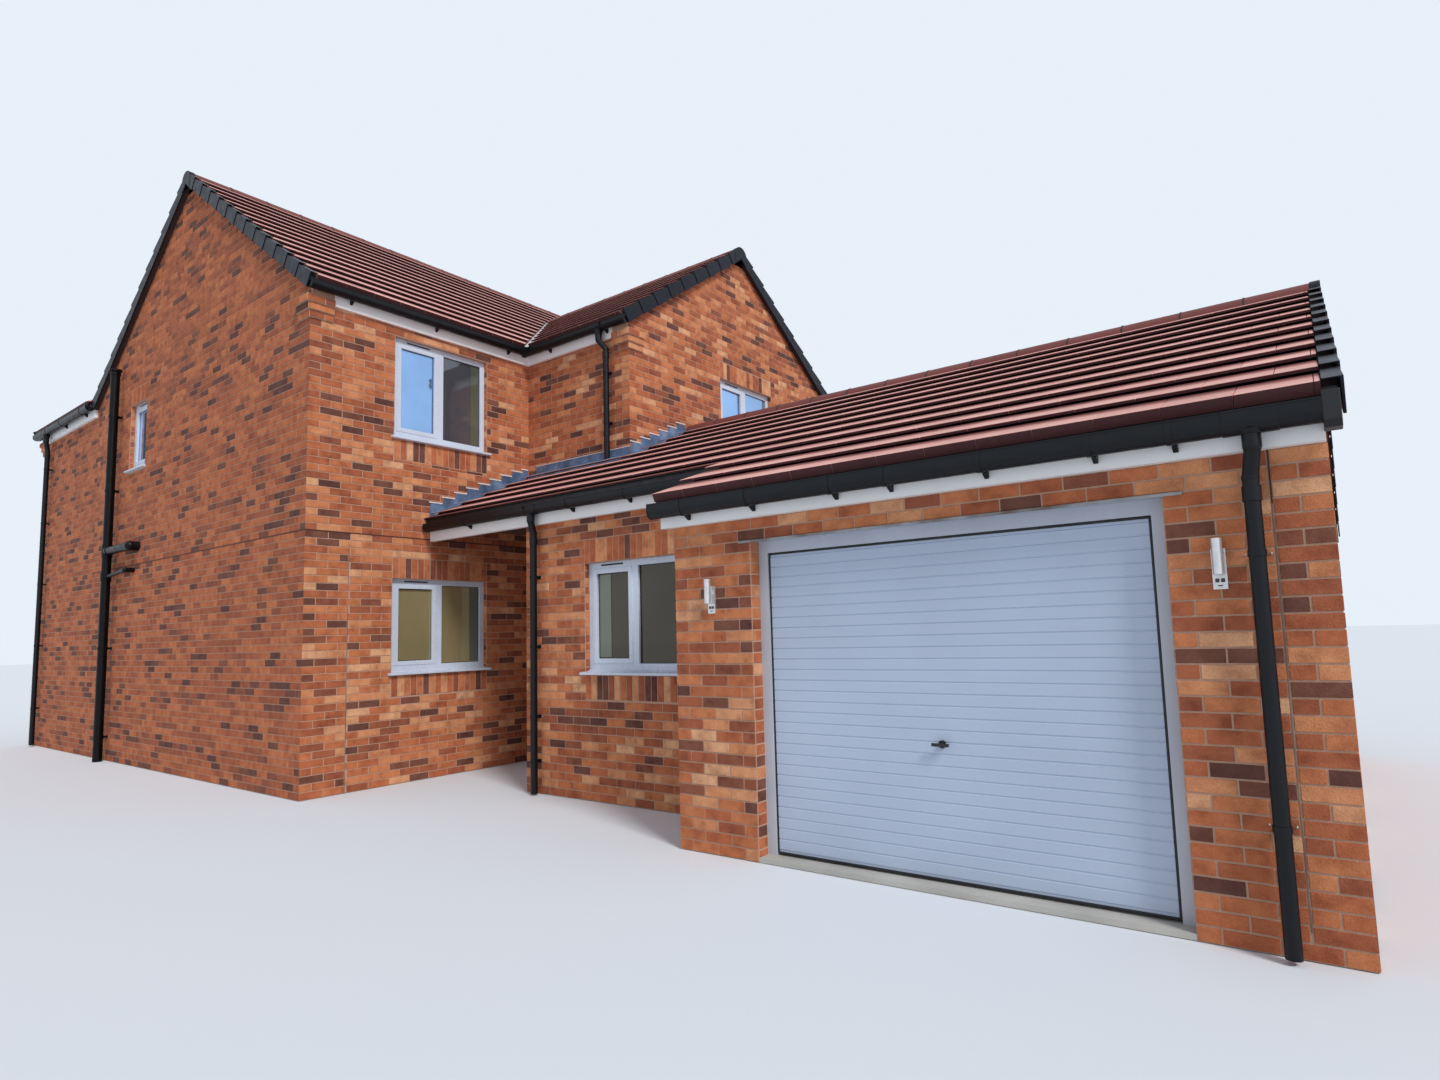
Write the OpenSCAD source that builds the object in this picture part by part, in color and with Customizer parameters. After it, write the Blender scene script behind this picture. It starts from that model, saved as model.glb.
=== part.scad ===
// Detached brick house with a front gable, two wings and an attached single garage.
// Millimetres, +Z up. Lengths are first laid out from the garage's front left corner
// at ground level (X to the right, Y to the back), and every piece is then shifted
// so that the middle of the whole footprint is the origin.

/* [Plan] */
// width of the main block across its front gable
main_w = 6460; // [5400:10:7600]
// how far the main block's front stands before the garage front
main_forward = 590; // [300:10:1200]
// from the garage front back to the shared rear face
garage_d = 6520; // [6000:10:7600]
// half the span of the cross wing and of the side wing
wing_half = 2180; // [1900:10:2400]
// how far the cross wing stands out past the main block
cross_out = 1790; // [1700:10:2300]
// length of the side wing on the left
side_w = 2840; // [1500:10:3200]
// width of the open porch recess
porch_w = 1620; // [1450:10:1700]
// width of the hall wall between porch and garage
hall_w = 2690; // [2300:10:3200]
// how far the hall wall stands behind the garage front
hall_back = 825; // [500:5:1100]
// width of the garage front
garage_w = 3815; // [3400:5:4600]

/* [Walls and floors] */
// thickness of the house's cavity walls
wall_t = 300; // [270:5:350]
// thickness of the garage walls
garage_wall_t = 215; // [200:5:250]
// top of the ground floor
floor_z = 150; // [100:10:200]
// top of the garage floor
garage_floor_z = 40; // [30:5:80]
// top of the upper floor
upper_z = 2700; // [2600:10:2800]
// depth of the upper floor
upper_t = 250; // [200:10:300]

/* [Roofs] */
// underside of the house roofs at the wall faces
house_eave_z = 5150; // [5000:10:5400]
// underside of the garage roof at the garage front
garage_eave_z = 2418; // [2380:2:2600]
// pitch of the house roofs in degrees
house_pitch = 35; // [30:1:40]
// pitch of the garage roof in degrees
garage_pitch = 25; // [20:1:28]
// thickness of tiles, battens and boards, square to the slope
deck_t = 80; // [60:5:120]
// eaves overhang of the tiles past the wall face
eave_over = 95; // [85:5:110]
// overhang of the tiles past a gable
verge_over = 60; // [40:5:90]
// radius of the half round ridge tiles
ridge_r = 120; // [110:5:130]
// gap between the two slopes under the ridge tiles
ridge_gap = 20; // [10:5:40]
// length of one verge cap along the house slopes, level measure
cap_gauge = 248; // [230:2:270]
// length of one verge cap along the garage slopes, level measure
garage_cap_gauge = 300; // [260:5:330]

/* [Windows] */
// width of the two light windows
window_w = 1195; // [1100:5:1250]
// sill underside of the lower windows
lower_sill_z = 1135; // [1000:5:1200]
// sill underside of the upper windows
upper_sill_z = 3710; // [3650:5:3760]
// height of a lower opening, sill included
lower_h = 1040; // [900:5:1100]
// height of an upper opening, sill included
upper_h = 1160; // [900:5:1200]
// height of the opening in the cross gable, sill included; its head keeps the others' level
cross_h = 890; // [850:5:900]
// width of the small window in the front gable
small_w = 615; // [500:5:700]
// height of the small window's opening, sill included
small_h = 950; // [800:5:1100]
// how far a frame stands behind the wall face
recess = 55; // [30:5:90]
// depth of a window frame
frame_d = 70; // [60:5:80]
// width of a frame bar
frame_bar = 58; // [45:1:70]
// height of a sill at the frame
sill_h = 45; // [35:5:60]

/* [Garage door] */
// clear width of the doorway between the brick piers
door_open_w = 2485; // [2300:5:2600]
// height of the doorway
door_open_h = 2100; // [2000:5:2150]
// width of the steel frame's legs
leg_w = 70; // [60:1:80]
// height of the steel frame's head
head_h = 79; // [70:1:95]
// depth of the steel frame
door_frame_d = 57; // [50:1:70]
// gap between leaf and frame at each side
side_gap = 7.5; // [6:0.5:12]
// gap between leaf and frame at the top
top_gap = 8; // [7:0.5:12]
// level of the leaf's lower edge
leaf_z0 = 46; // [40:1:60]
// number of pressed ribs across the leaf
ribs = 28; // [20:1:34]
// thickness of the leaf's frame, ribs included
leaf_t = 40; // [35:1:50]
// distance of the spindle below the leaf's top edge
spindle_drop = 85; // [80:1:100]
// travel of the rollers along their tracks
track_run = 1800; // [1700:10:1850]

/* [Rainwater goods] */
// outside radius of the half round gutters
gutter_r = 56; // [50:1:62]
// diameter of the downpipes
pipe_d = 68; // [60:1:75]
// diameter of the soil pipe
soil_d = 110; // [100:1:120]
// thickness of the house fascia in front of the wall
fascia_t = 40; // [30:1:50]
// thickness of the garage fascia in front of the wall
garage_fascia_t = 50; // [40:1:60]
// lower edge of the house fascia
fascia_z = 4975; // [4900:5:5050]
// lower edge of the garage fascia
garage_fascia_z = 2250; // [2200:5:2300]
// lower edge of the porch fascia
porch_fascia_z = 2605; // [2560:5:2650]

/* [Hidden] */

brick = [0.60, 0.34, 0.26];
screed = [0.70, 0.69, 0.66];
boards = [0.70, 0.58, 0.42];
tile = [0.37, 0.22, 0.18];
black = [0.05, 0.06, 0.09];
lead = [0.46, 0.50, 0.56];
white = [0.90, 0.91, 0.92];
upvc = [0.84, 0.88, 0.92];
pane = [0.35, 0.45, 0.55, 0.45];
door_blue = [0.80, 0.86, 0.92];
steel = [0.72, 0.74, 0.76];
galvanised = [0.62, 0.65, 0.68];

course = 75;
house_rise = tan(house_pitch);
garage_rise = tan(garage_pitch);
house_deck = deck_t / cos(house_pitch);
garage_deck = deck_t / cos(garage_pitch);

// plan lines, from the garage's front left corner
main_x1 = -(hall_w + porch_w);
main_x0 = main_x1 - main_w;
main_y0 = -main_forward;
rear_y = garage_d;
side_x0 = main_x0 - side_w;
side_y1 = main_y0 + 2 * wing_half;
cross_x1 = main_x1 + cross_out;
cross_y0 = rear_y - 2 * wing_half;
main_mid = (main_x0 + main_x1) / 2;
cross_mid = cross_y0 + wing_half;
side_mid = main_y0 + wing_half;
garage_mid = garage_d / 2;
garage_left_over = 90;
cap_out = 15;

// seat between pieces that lie on each other along a slope
seat = 0.3;
house_bed_z = house_eave_z + seat;
garage_bed_z = garage_eave_z + seat;

// middle of the footprint
mid_x = (side_x0 + garage_w) / 2;
mid_y = (main_y0 + rear_y) / 2;

function main_under(x) = house_eave_z + house_rise * min(x - main_x0, main_x1 - x);
function wing_under(y, y0) = house_eave_z + house_rise * min(y - y0, y0 + 2 * wing_half - y);
function garage_under(y) = garage_eave_z + garage_rise * min(y, garage_d - y);

// garage door levels and lines
door_x0 = (garage_w - door_open_w) / 2;
door_x1 = door_x0 + door_open_w;
reveal = 102.5;
lintel_t = 6;
leaf_x0 = door_x0 + leg_w + side_gap;
leaf_x1 = door_x1 - leg_w - side_gap;
frame_top = door_open_h - lintel_t;
leaf_z1 = frame_top - head_h - top_gap;
leaf_y0 = reveal + 12.5;
spindle_y = leaf_y0 + 65;
spindle_z = leaf_z1 - spindle_drop;
spindle_d = 16;
roller_d = 30;
roller_w = 14;
track_w = 26;

track_wall = 3;
track_z0 = spindle_z - roller_d / 2 - 0.3 - track_wall;
track_z1 = spindle_z + roller_d / 2 + 6 + track_wall;

module placed() {
  translate([-mid_x, -mid_y, 0]) children();
}

// block between two opposite corners
module block(a, b) {
  translate(a) cube(b - a);
}

// prism along X; its profile is drawn as (y, z)
module along_x(x0, x1) {
  translate([x0, 0, 0]) rotate([90, 0, 90]) linear_extrude(x1 - x0) children();
}

// prism along Y; its profile is drawn as (x, z)
module along_y(y0, y1) {
  translate([0, y1, 0]) rotate([90, 0, 0]) linear_extrude(y1 - y0) children();
}

// three oversailing courses round an outer corner under a verge foot. The corner is the
// origin, the wall's faces are x = 0 and y = 0, and the courses step out to +x and -y;
// a backing for the fascia's end stands on them at the eaves side
module corbel(eaves_right) {
  for (i = [1:3])
    translate([-corbel_len, -corbel_step * i, corbel_z + (i - 1) * course])
      cube([corbel_len + corbel_step * i, corbel_len + corbel_step * i, course]);
  backing_h = house_eave_z - house_rise * fascia_t - corbel_z - 3 * course;
  translate([-corbel_len, eaves_right ? 0 : -fascia_t, corbel_z + 3 * course])
    cube([
      corbel_len + (eaves_right ? fascia_t : 0), corbel_len + (eaves_right ? 0 : fascia_t),
      backing_h
    ]);
}
corbel_len = 225;
corbel_step = 20;
corbel_z = 64 * course;

// opening through a wall that faces the front; x0 is its left edge
module cut_front(x0, y0, w, z0, h, t) {
  translate([x0, y0 - 1, z0]) cube([w, t + 2, h]);
}

// opening through a wall that faces right; y0 is its front edge
module cut_right(x1, y0, w, z0, h, t) {
  translate([x1 - t - 1, y0, z0]) cube([t + 2, w, h]);
}

// window places along the walls
upper_win_y = cross_y0 - 633 - window_w;
hall_win_x = -650 - window_w;
small_win_x = main_x0 + 1330;
cross_win_y = cross_mid + 142.5 - window_w / 2;
rear_wins = [
  side_x0 + (side_w - window_w) / 2 + 412.5, main_x0 + 1070, main_x1 - 1095 - window_w
];
rear_cross_win = cross_x1 - wall_t - 150 - window_w;
door_w = 1010;
door_h = 2100;
door_x = main_x1 + (porch_w - door_w) / 2;

// walls of the house

module front_gable_wall() placed() color(brick) {
  difference() {
    along_y(main_y0, main_y0 + wall_t)
      polygon([
        [main_x0, 0], [main_x1, 0], [main_x1, house_eave_z],
        [main_mid, main_under(main_mid)], [main_x0, house_eave_z]
      ]);
    cut_front(small_win_x, main_y0, small_w, upper_sill_z + upper_h - small_h, small_h, wall_t);
  }
  translate([main_x1, main_y0, 0]) corbel(true);
}

module side_front_wall() placed() color(brick)
  along_x(side_x0 + wall_t, main_x0)
    polygon([
      [main_y0, 0], [main_y0 + wall_t, 0],
      [main_y0 + wall_t, wing_under(main_y0 + wall_t, main_y0)], [main_y0, house_eave_z]
    ]);

module side_end_wall() placed() color(brick) {
  along_x(side_x0, side_x0 + wall_t)
    polygon([
      [main_y0, 0], [side_y1, 0], [side_y1, house_eave_z],
      [side_mid, wing_under(side_mid, main_y0)], [main_y0, house_eave_z]
    ]);
  translate([side_x0, main_y0, 0]) mirror([1, 0, 0]) corbel(false);
  translate([side_x0, side_y1, 0]) mirror([1, 0, 0]) mirror([0, 1, 0]) corbel(false);
}

module side_back_wall() placed() color(brick)
  difference() {
    along_x(side_x0 + wall_t, main_x0 + wall_t)
      polygon([
        [side_y1 - wall_t, 0], [side_y1, 0], [side_y1, house_eave_z],
        [side_y1 - wall_t, wing_under(side_y1 - wall_t, main_y0)]
      ]);
    cut_front(rear_wins[0], side_y1 - wall_t, window_w, lower_sill_z, lower_h, wall_t);
    cut_front(rear_wins[0], side_y1 - wall_t, window_w, upper_sill_z, upper_h, wall_t);
  }

module main_left_wall() placed() color(brick) {
  along_y(side_y1, rear_y - wall_t)
    polygon([
      [main_x0, 0], [main_x0 + wall_t, 0],
      [main_x0 + wall_t, main_under(main_x0 + wall_t)], [main_x0, house_eave_z]
    ]);
}

module rear_gable_wall() placed() color(brick) {
  difference() {
    along_y(rear_y - wall_t, rear_y)
      polygon([
        [main_x0, 0], [main_x1, 0], [main_x1, house_eave_z],
        [main_mid, main_under(main_mid)], [main_x0, house_eave_z]
      ]);
    for (x = [rear_wins[1], rear_wins[2]]) {
      cut_front(x, rear_y - wall_t, window_w, lower_sill_z, lower_h, wall_t);
      cut_front(x, rear_y - wall_t, window_w, upper_sill_z, upper_h, wall_t);
    }
  }
  translate([main_x0, rear_y, 0]) mirror([1, 0, 0]) mirror([0, 1, 0]) corbel(true);
}

module cross_back_wall() placed() color(brick)
  difference() {
    along_x(main_x1, cross_x1 - wall_t)
      polygon([
        [rear_y - wall_t, 0], [rear_y, 0], [rear_y, house_eave_z],
        [rear_y - wall_t, wing_under(rear_y - wall_t, cross_y0)]
      ]);
    cut_front(rear_cross_win, rear_y - wall_t, window_w, lower_sill_z, lower_h, wall_t);
    cut_front(rear_cross_win, rear_y - wall_t, window_w, upper_sill_z, upper_h, wall_t);
  }

module window_wall() placed() color(brick)
  difference() {
    along_y(main_y0 + wall_t, cross_y0)
      polygon([
        [main_x1 - wall_t, 0], [main_x1, 0], [main_x1, house_eave_z],
        [main_x1 - wall_t, main_under(main_x1 - wall_t)]
      ]);
    cut_right(main_x1, upper_win_y, window_w, lower_sill_z, lower_h, wall_t);
    cut_right(main_x1, upper_win_y, window_w, upper_sill_z, upper_h, wall_t);
  }

module entrance_wall() placed() color(brick)
  difference() {
    along_x(main_x1 - wall_t, cross_x1 - wall_t)
      polygon([
        [cross_y0, 0], [cross_y0 + wall_t, 0],
        [cross_y0 + wall_t, wing_under(cross_y0 + wall_t, cross_y0)], [cross_y0, house_eave_z]
      ]);
    cut_front(door_x, cross_y0, door_w, floor_z, door_h, wall_t);
  }

module cross_gable_wall() placed() color(brick) {
  difference() {
    along_x(cross_x1 - wall_t, cross_x1)
      polygon([
        [cross_y0, 0], [rear_y, 0], [rear_y, house_eave_z],
        [cross_mid, wing_under(cross_mid, cross_y0)], [cross_y0, house_eave_z]
      ]);
    cut_right(cross_x1, cross_win_y, window_w, upper_sill_z + upper_h - cross_h, cross_h, wall_t);
  }
  translate([cross_x1, cross_y0, 0]) corbel(false);
  translate([cross_x1, rear_y, 0]) mirror([0, 1, 0]) corbel(false);
}

module hall_wall() placed() color(brick)
  difference() {
    along_x(-hall_w, 0)
      polygon([
        [hall_back, 0], [hall_back + wall_t, 0],
        [hall_back + wall_t, garage_under(hall_back + wall_t)], [hall_back, garage_under(hall_back)]
      ]);
    cut_front(hall_win_x, hall_back, window_w, lower_sill_z, lower_h, wall_t);
  }

module hall_return_wall() placed() color(brick)
  along_x(-hall_w, -hall_w + wall_t)
    polygon([
      [hall_back + wall_t, 0], [cross_y0, 0],
      [cross_y0, garage_under(cross_y0)], [hall_back + wall_t, garage_under(hall_back + wall_t)]
    ]);

// walls of the garage

module garage_return_wall() placed() color(brick)
  along_x(0, garage_wall_t)
    polygon([
      [garage_wall_t, 0], [hall_back + wall_t, 0],
      [hall_back + wall_t, garage_under(hall_back + wall_t)],
      [garage_wall_t, garage_under(garage_wall_t)]
    ]);

module garage_piers() placed() color(brick) {
  block([0, 0, 0], [door_x0, garage_wall_t, door_open_h]);
  block([door_x1, 0, 0], [garage_w, garage_wall_t, door_open_h]);
}

module garage_head_wall() placed() color(brick)
  along_x(0, garage_w)
    polygon([
      [0, door_open_h], [garage_wall_t, door_open_h],
      [garage_wall_t, garage_under(garage_wall_t)], [0, garage_eave_z]
    ]);

module garage_end_wall() placed() color(brick)
  along_x(garage_w - garage_wall_t, garage_w)
    polygon([
      [garage_wall_t, 0], [garage_d - garage_wall_t, 0],
      [garage_d - garage_wall_t, garage_under(garage_wall_t)],
      [garage_mid, garage_under(garage_mid)],
      [garage_wall_t, garage_under(garage_wall_t)]
    ]);

module garage_back_wall() placed() color(brick)
  along_x(cross_x1, garage_w)
    polygon([
      [garage_d - garage_wall_t, 0], [garage_d, 0],
      [garage_d, garage_eave_z], [garage_d - garage_wall_t, garage_under(garage_wall_t)]
    ]);

// floors

module storey_plan()
  polygon([
    [side_x0 + wall_t, main_y0 + wall_t], [main_x1 - wall_t, main_y0 + wall_t],
    [main_x1 - wall_t, cross_y0 + wall_t], [cross_x1 - wall_t, cross_y0 + wall_t],
    [cross_x1 - wall_t, rear_y - wall_t], [main_x0 + wall_t, rear_y - wall_t],
    [main_x0 + wall_t, side_y1 - wall_t], [side_x0 + wall_t, side_y1 - wall_t]
  ]);

module ground_floor() placed() color(screed) {
  linear_extrude(floor_z) storey_plan();
  block([-hall_w + wall_t, hall_back + wall_t, 0], [0, cross_y0, floor_z]);
  block([cross_x1, cross_y0, 0], [0, garage_d - garage_wall_t, floor_z]);
}

module upper_floor() placed() color(boards)
  translate([0, 0, upper_z - upper_t]) linear_extrude(upper_t) storey_plan();

module garage_floor() placed() color(screed) {
  block([0, hall_back + wall_t, 0], [garage_w - garage_wall_t, garage_d - garage_wall_t, garage_floor_z]);
  block([garage_wall_t, garage_wall_t, 0], [garage_w - garage_wall_t, hall_back + wall_t, garage_floor_z]);
  block([door_x0, 0, 0], [door_x1, garage_wall_t, 30]);
}

// roofs

// one slope as a profile: u runs from the ridge line outwards, level
module slope(half, over, under_eave, rise, deck)
  polygon([
    [ridge_gap / 2, under_eave + rise * (half - ridge_gap / 2)],
    [half + over, under_eave - rise * over],
    [half + over, under_eave - rise * over + deck],
    [ridge_gap / 2, under_eave + rise * (half - ridge_gap / 2) + deck]
  ]);

module main_roof() placed() color(tile) {
  difference() {
    translate([main_mid, 0, 0]) along_y(main_y0 - verge_over, rear_y + verge_over)
      slope(main_w / 2, eave_over, house_bed_z, house_rise, house_deck);
    linear_extrude(9000)
      polygon([
        [main_x1 - wing_half, cross_mid], [main_x1 + 400, cross_y0 - 400],
        [main_x1 + 400, rear_y], [main_x1, rear_y]
      ]);
  }
  difference() {
    translate([main_mid, 0, 0]) mirror([1, 0, 0]) along_y(main_y0 - verge_over, rear_y + verge_over)
      slope(main_w / 2, eave_over, house_bed_z, house_rise, house_deck);
    linear_extrude(9000)
      polygon([
        [main_x0 + wing_half, side_mid], [main_x0 - 400, side_y1 + 400],
        [main_x0 - 400, main_y0], [main_x0, main_y0]
      ]);
  }
}

// where a wing's eaves start beside the foot of the main block's verge
foot_gap = eave_over + 35;

// both slopes of a wing between its valley and its verge
module wing_roof(x0, x1, mid, valley)
  for (side = [-1, 1])
    intersection() {
      translate([0, mid, 0]) mirror([0, side < 0 ? 1 : 0, 0]) along_x(x0, x1)
        slope(wing_half, eave_over, house_bed_z, house_rise, house_deck);
      linear_extrude(9000) polygon(valley);
    }

module cross_roof() placed() color(tile)
  wing_roof(main_x1 - wing_half, cross_x1 + verge_over, cross_mid, [
    [main_x1 - wing_half, cross_mid], [main_x1 + eave_over, cross_y0 - eave_over],
    [cross_x1 + 400, cross_y0 - eave_over], [cross_x1 + 400, rear_y + eave_over],
    [main_x1 + foot_gap, rear_y + eave_over], [main_x1 + foot_gap, rear_y], [main_x1, rear_y]
  ]);

module side_roof() placed() color(tile)
  wing_roof(side_x0 - verge_over, main_x0 + wing_half, side_mid, [
    [main_x0 + wing_half, side_mid], [main_x0 - eave_over, side_y1 + eave_over],
    [side_x0 - 400, side_y1 + eave_over], [side_x0 - 400, main_y0 - eave_over],
    [main_x0 - foot_gap, main_y0 - eave_over], [main_x0 - foot_gap, main_y0], [main_x0, main_y0]
  ]);

module garage_roof() placed() color(tile) {
  intersection() {
    translate([0, garage_mid, 0]) mirror([0, 1, 0]) along_x(main_x1, garage_w + verge_over)
      slope(garage_mid, eave_over, garage_bed_z, garage_rise, garage_deck);
    linear_extrude(9000)
      polygon([
        [main_x1, hall_back - eave_over], [-garage_left_over, hall_back - eave_over],
        [-garage_left_over, -eave_over], [garage_w + verge_over, -eave_over],
        [garage_w + verge_over, garage_mid], [cross_x1, garage_mid],
        [cross_x1, cross_y0], [main_x1, cross_y0]
      ]);
  }
  translate([0, garage_mid, 0]) along_x(cross_x1, garage_w + verge_over)
    slope(garage_mid, eave_over, garage_bed_z, garage_rise, garage_deck);
}

main_apex = main_under(main_mid) + house_deck + 2 * seat;
wing_apex = wing_under(cross_mid, cross_y0) + house_deck + 2 * seat;
garage_apex = garage_under(garage_mid) + garage_deck + 2 * seat;
flange_w = verge_over - 2;
ridge_in = flange_w - verge_over;
function garage_top(y) = garage_under(y) + garage_deck + 2 * seat;

// half round ridge, open below and bedded on both slopes; centred on the ridge line
ridge_t = 14;
function ridge_z(apex, rise) = apex - (ridge_r - ridge_t) * rise;

module ridge_profile(apex, rise)
  translate([0, ridge_z(apex, rise)]) difference() {
    circle(r = ridge_r, $fn = 48);
    circle(r = ridge_r - ridge_t, $fn = 48);
    translate([-2 * ridge_r, -2 * ridge_r]) square([4 * ridge_r, 2 * ridge_r]);
  }

module ridge_tiles() placed() color(tile) {
  translate([main_mid, 0, 0]) along_y(main_y0 + ridge_in, rear_y - ridge_in)
    ridge_profile(main_apex, house_rise);
  translate([0, cross_mid, 0]) along_x(main_x1 - wing_half + ridge_r, cross_x1 - ridge_in)
    ridge_profile(wing_apex, house_rise);
  translate([0, side_mid, 0]) along_x(side_x0 + ridge_in, main_x0 + wing_half - ridge_r)
    ridge_profile(wing_apex, house_rise);
  translate([0, garage_mid, 0]) along_x(cross_x1, garage_w - ridge_in)
    ridge_profile(garage_apex, garage_rise);
}

// verge caps of one slope: a plate with stepped edges outside the deck and a flange
// over the tiles. u runs from the ridge line outwards; n caps
module verge_plate(half, under_eave, rise, deck, over, gauge)
  let (
    end = half + over + 30,
    n = floor(end / gauge),
    g = end / n
  )
  polygon(concat(
    [for (i = [0:n - 1], k = [0, 1])
      let (u = (i + k) * g)
      [u, under_eave + rise * (half - u) + deck + (k == 0 ? 30 : 42)]],
    [for (i = [n - 1:-1:0], k = [1, 0])
      let (u = (i + k) * g)
      [u, under_eave + rise * (half - u) - (k == 0 ? 20 : 34)]]
  ));

module verge_flange(half, under_eave, rise, deck, over, gauge)
  let (
    end = half + over + 30,
    n = floor(end / gauge),
    g = end / n
  )
  polygon(concat(
    [for (i = [0:n - 1], k = [0, 1])
      let (u = (i + k) * g)
      [u, under_eave + rise * (half - u) + deck + (k == 0 ? 30 : 42)]],
    [
      [end, under_eave + rise * (half - end) + deck + seat],
      [0, under_eave + rise * half + deck + seat]
    ]
  ));

// one verge along a slope, drawn with u along X and the outside towards -Y
module verge_run(half, under_eave, rise, deck, over, gauge) {
  along_y(-cap_out, 0) verge_plate(half, under_eave, rise, deck, over, gauge);
  along_y(0, flange_w) verge_flange(half, under_eave, rise, deck, over, gauge);
}

// both verges of a gable with the cap that closes the ridge tiles' end
module gable_verges(half, under_eave, rise, deck, over, gauge) {
  verge_run(half, under_eave, rise, deck, over, gauge);
  mirror([1, 0, 0]) verge_run(half, under_eave, rise, deck, over, gauge);
  apex = under_eave + rise * half + deck;
  crown = ridge_z(apex, rise) + ridge_r + 6;
  along_y(-cap_out - 6, flange_w - 4)
    polygon([
      [-128, apex - 128 * rise + 34], [-110, crown - 72], [-60, crown - 16], [0, crown],
      [60, crown - 16], [110, crown - 72], [128, apex - 128 * rise + 34], [0, apex + 4]
    ]);
}

module verge_caps() placed() color(black) {
  translate([main_mid, main_y0 - verge_over, 0])
    gable_verges(main_w / 2, house_bed_z, house_rise, house_deck, eave_over, cap_gauge);
  translate([main_mid, rear_y + verge_over, 0]) mirror([0, 1, 0])
    gable_verges(main_w / 2, house_bed_z, house_rise, house_deck, eave_over, cap_gauge);
  translate([cross_x1 + verge_over, cross_mid, 0]) rotate([0, 0, 90])
    gable_verges(wing_half, house_bed_z, house_rise, house_deck, eave_over, cap_gauge);
  translate([side_x0 - verge_over, side_mid, 0]) rotate([0, 0, -90])
    gable_verges(wing_half, house_bed_z, house_rise, house_deck, eave_over, cap_gauge);
  translate([garage_w + verge_over, garage_mid, 0]) rotate([0, 0, 90])
    gable_verges(garage_mid, garage_bed_z, garage_rise, garage_deck, eave_over, garage_cap_gauge);
}

// lead over the joints between the garage roof and the house walls

flash_t = 4;
flash_h = 150;
flash_run = course / garage_rise;

// stepped cover on a wall that faces right; steps rise with the slope from ya to yb
module stepped_flashing(x, ya, yb) {
  n = ceil((yb - ya) / flash_run);
  along_x(x, x + flash_t)
    polygon(concat(
      [[yb, garage_top(yb)], [ya, garage_top(ya)]],
      [for (i = [0:n - 1], k = [0, 1])
        let (y0 = ya + i * flash_run, y = min(yb, y0 + k * flash_run))
        [y, garage_top(min(yb, y0 + flash_run)) + flash_h - 40]]
    ));
  along_x(x + flash_t, x + 150)
    polygon([
      [ya, garage_top(ya)], [yb, garage_top(yb)],
      [yb, garage_top(yb) + flash_t], [ya, garage_top(ya) + flash_t]
    ]);
}

module lead_flashing() placed() color(lead) {
  stepped_flashing(main_x1, hall_back - 60, cross_y0 - 20);
  stepped_flashing(cross_x1, cross_y0 + 20, garage_mid - ridge_r - 5);
  translate([0, garage_d, 0]) mirror([0, 1, 0])
    stepped_flashing(cross_x1, 20, garage_mid - ridge_r - 5);
  along_x(main_x1 + 160, cross_x1 - 20)
    polygon([
      [cross_y0, garage_top(cross_y0)],
      [cross_y0, garage_top(cross_y0) + 130],
      [cross_y0 - flash_t, garage_top(cross_y0) + 130],
      [cross_y0 - flash_t, garage_top(cross_y0 - flash_t) + flash_t],
      [cross_y0 - 150, garage_top(cross_y0 - 150) + flash_t],
      [cross_y0 - 150, garage_top(cross_y0 - 150)]
    ]);
}

// fascia boards; each touches the wall behind it and the tiles above it

module house_board(z0)
  polygon([
    [0, z0], [fascia_t, z0], [fascia_t, house_eave_z - house_rise * fascia_t], [0, house_eave_z]
  ]);

module house_fascia() placed() color(white) {
  translate([main_x1, 0, 0]) along_y(main_y0 + corbel_len, cross_y0) house_board(fascia_z);
  translate([0, cross_y0, 0]) mirror([0, 1, 0]) along_x(main_x1 + fascia_t + 0.3, cross_x1 - corbel_len)
    house_board(fascia_z);
  translate([0, main_y0, 0]) mirror([0, 1, 0]) along_x(side_x0 + corbel_len, main_x0 - eave_over - 5)
    house_board(fascia_z);
  translate([0, side_y1, 0]) along_x(side_x0 + corbel_len, main_x0 - fascia_t - 0.3)
    house_board(fascia_z);
  translate([main_x0, 0, 0]) mirror([1, 0, 0]) along_y(side_y1, rear_y - corbel_len)
    house_board(fascia_z);
  translate([0, rear_y, 0]) along_x(main_x1 + eave_over + 5, cross_x1 - corbel_len)
    house_board(fascia_z);
}

module garage_board(y, z0)
  polygon([
    [y - garage_fascia_t, z0], [y, z0], [y, garage_under(y)],
    [y - garage_fascia_t, garage_eave_z + garage_rise * (y - garage_fascia_t)]
  ]);

module garage_fascia() placed() color(white) {
  along_x(-garage_left_over, garage_w) garage_board(0, garage_fascia_z);
  along_x(main_x1, -garage_left_over) garage_board(hall_back, porch_fascia_z);
  translate([0, garage_d, 0]) mirror([0, 1, 0]) along_x(cross_x1, garage_w)
    garage_board(0, garage_fascia_z);
}

// boarded ceiling of the porch, level, just under the roof at its front edge
porch_board = 15;
porch_ceiling_z = garage_under(hall_back) - 5;

module porch_soffit() placed() color(white)
  block(
    [main_x1, hall_back, porch_ceiling_z - porch_board], [-hall_w, cross_y0, porch_ceiling_z]
  );

module half_ring(outer, inner)
  difference() {
    circle(r = outer, $fn = 48);
    circle(r = inner, $fn = 48);
    translate([-2 * outer, 0]) square([4 * outer, 2 * outer]);
  }

// gutters: half round, on brackets with a foot on the fascia; run along +X, with the
// fascia behind at y = 0. A running outlet stands round the gutter at each x in outlets
bracket_pitch = 620;
bracket_w = 30;
bracket_foot = gutter_r + 32;
bracket_back = 10;
outlet_len = 220;
outlet_drop = gutter_r + 4.5;

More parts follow.
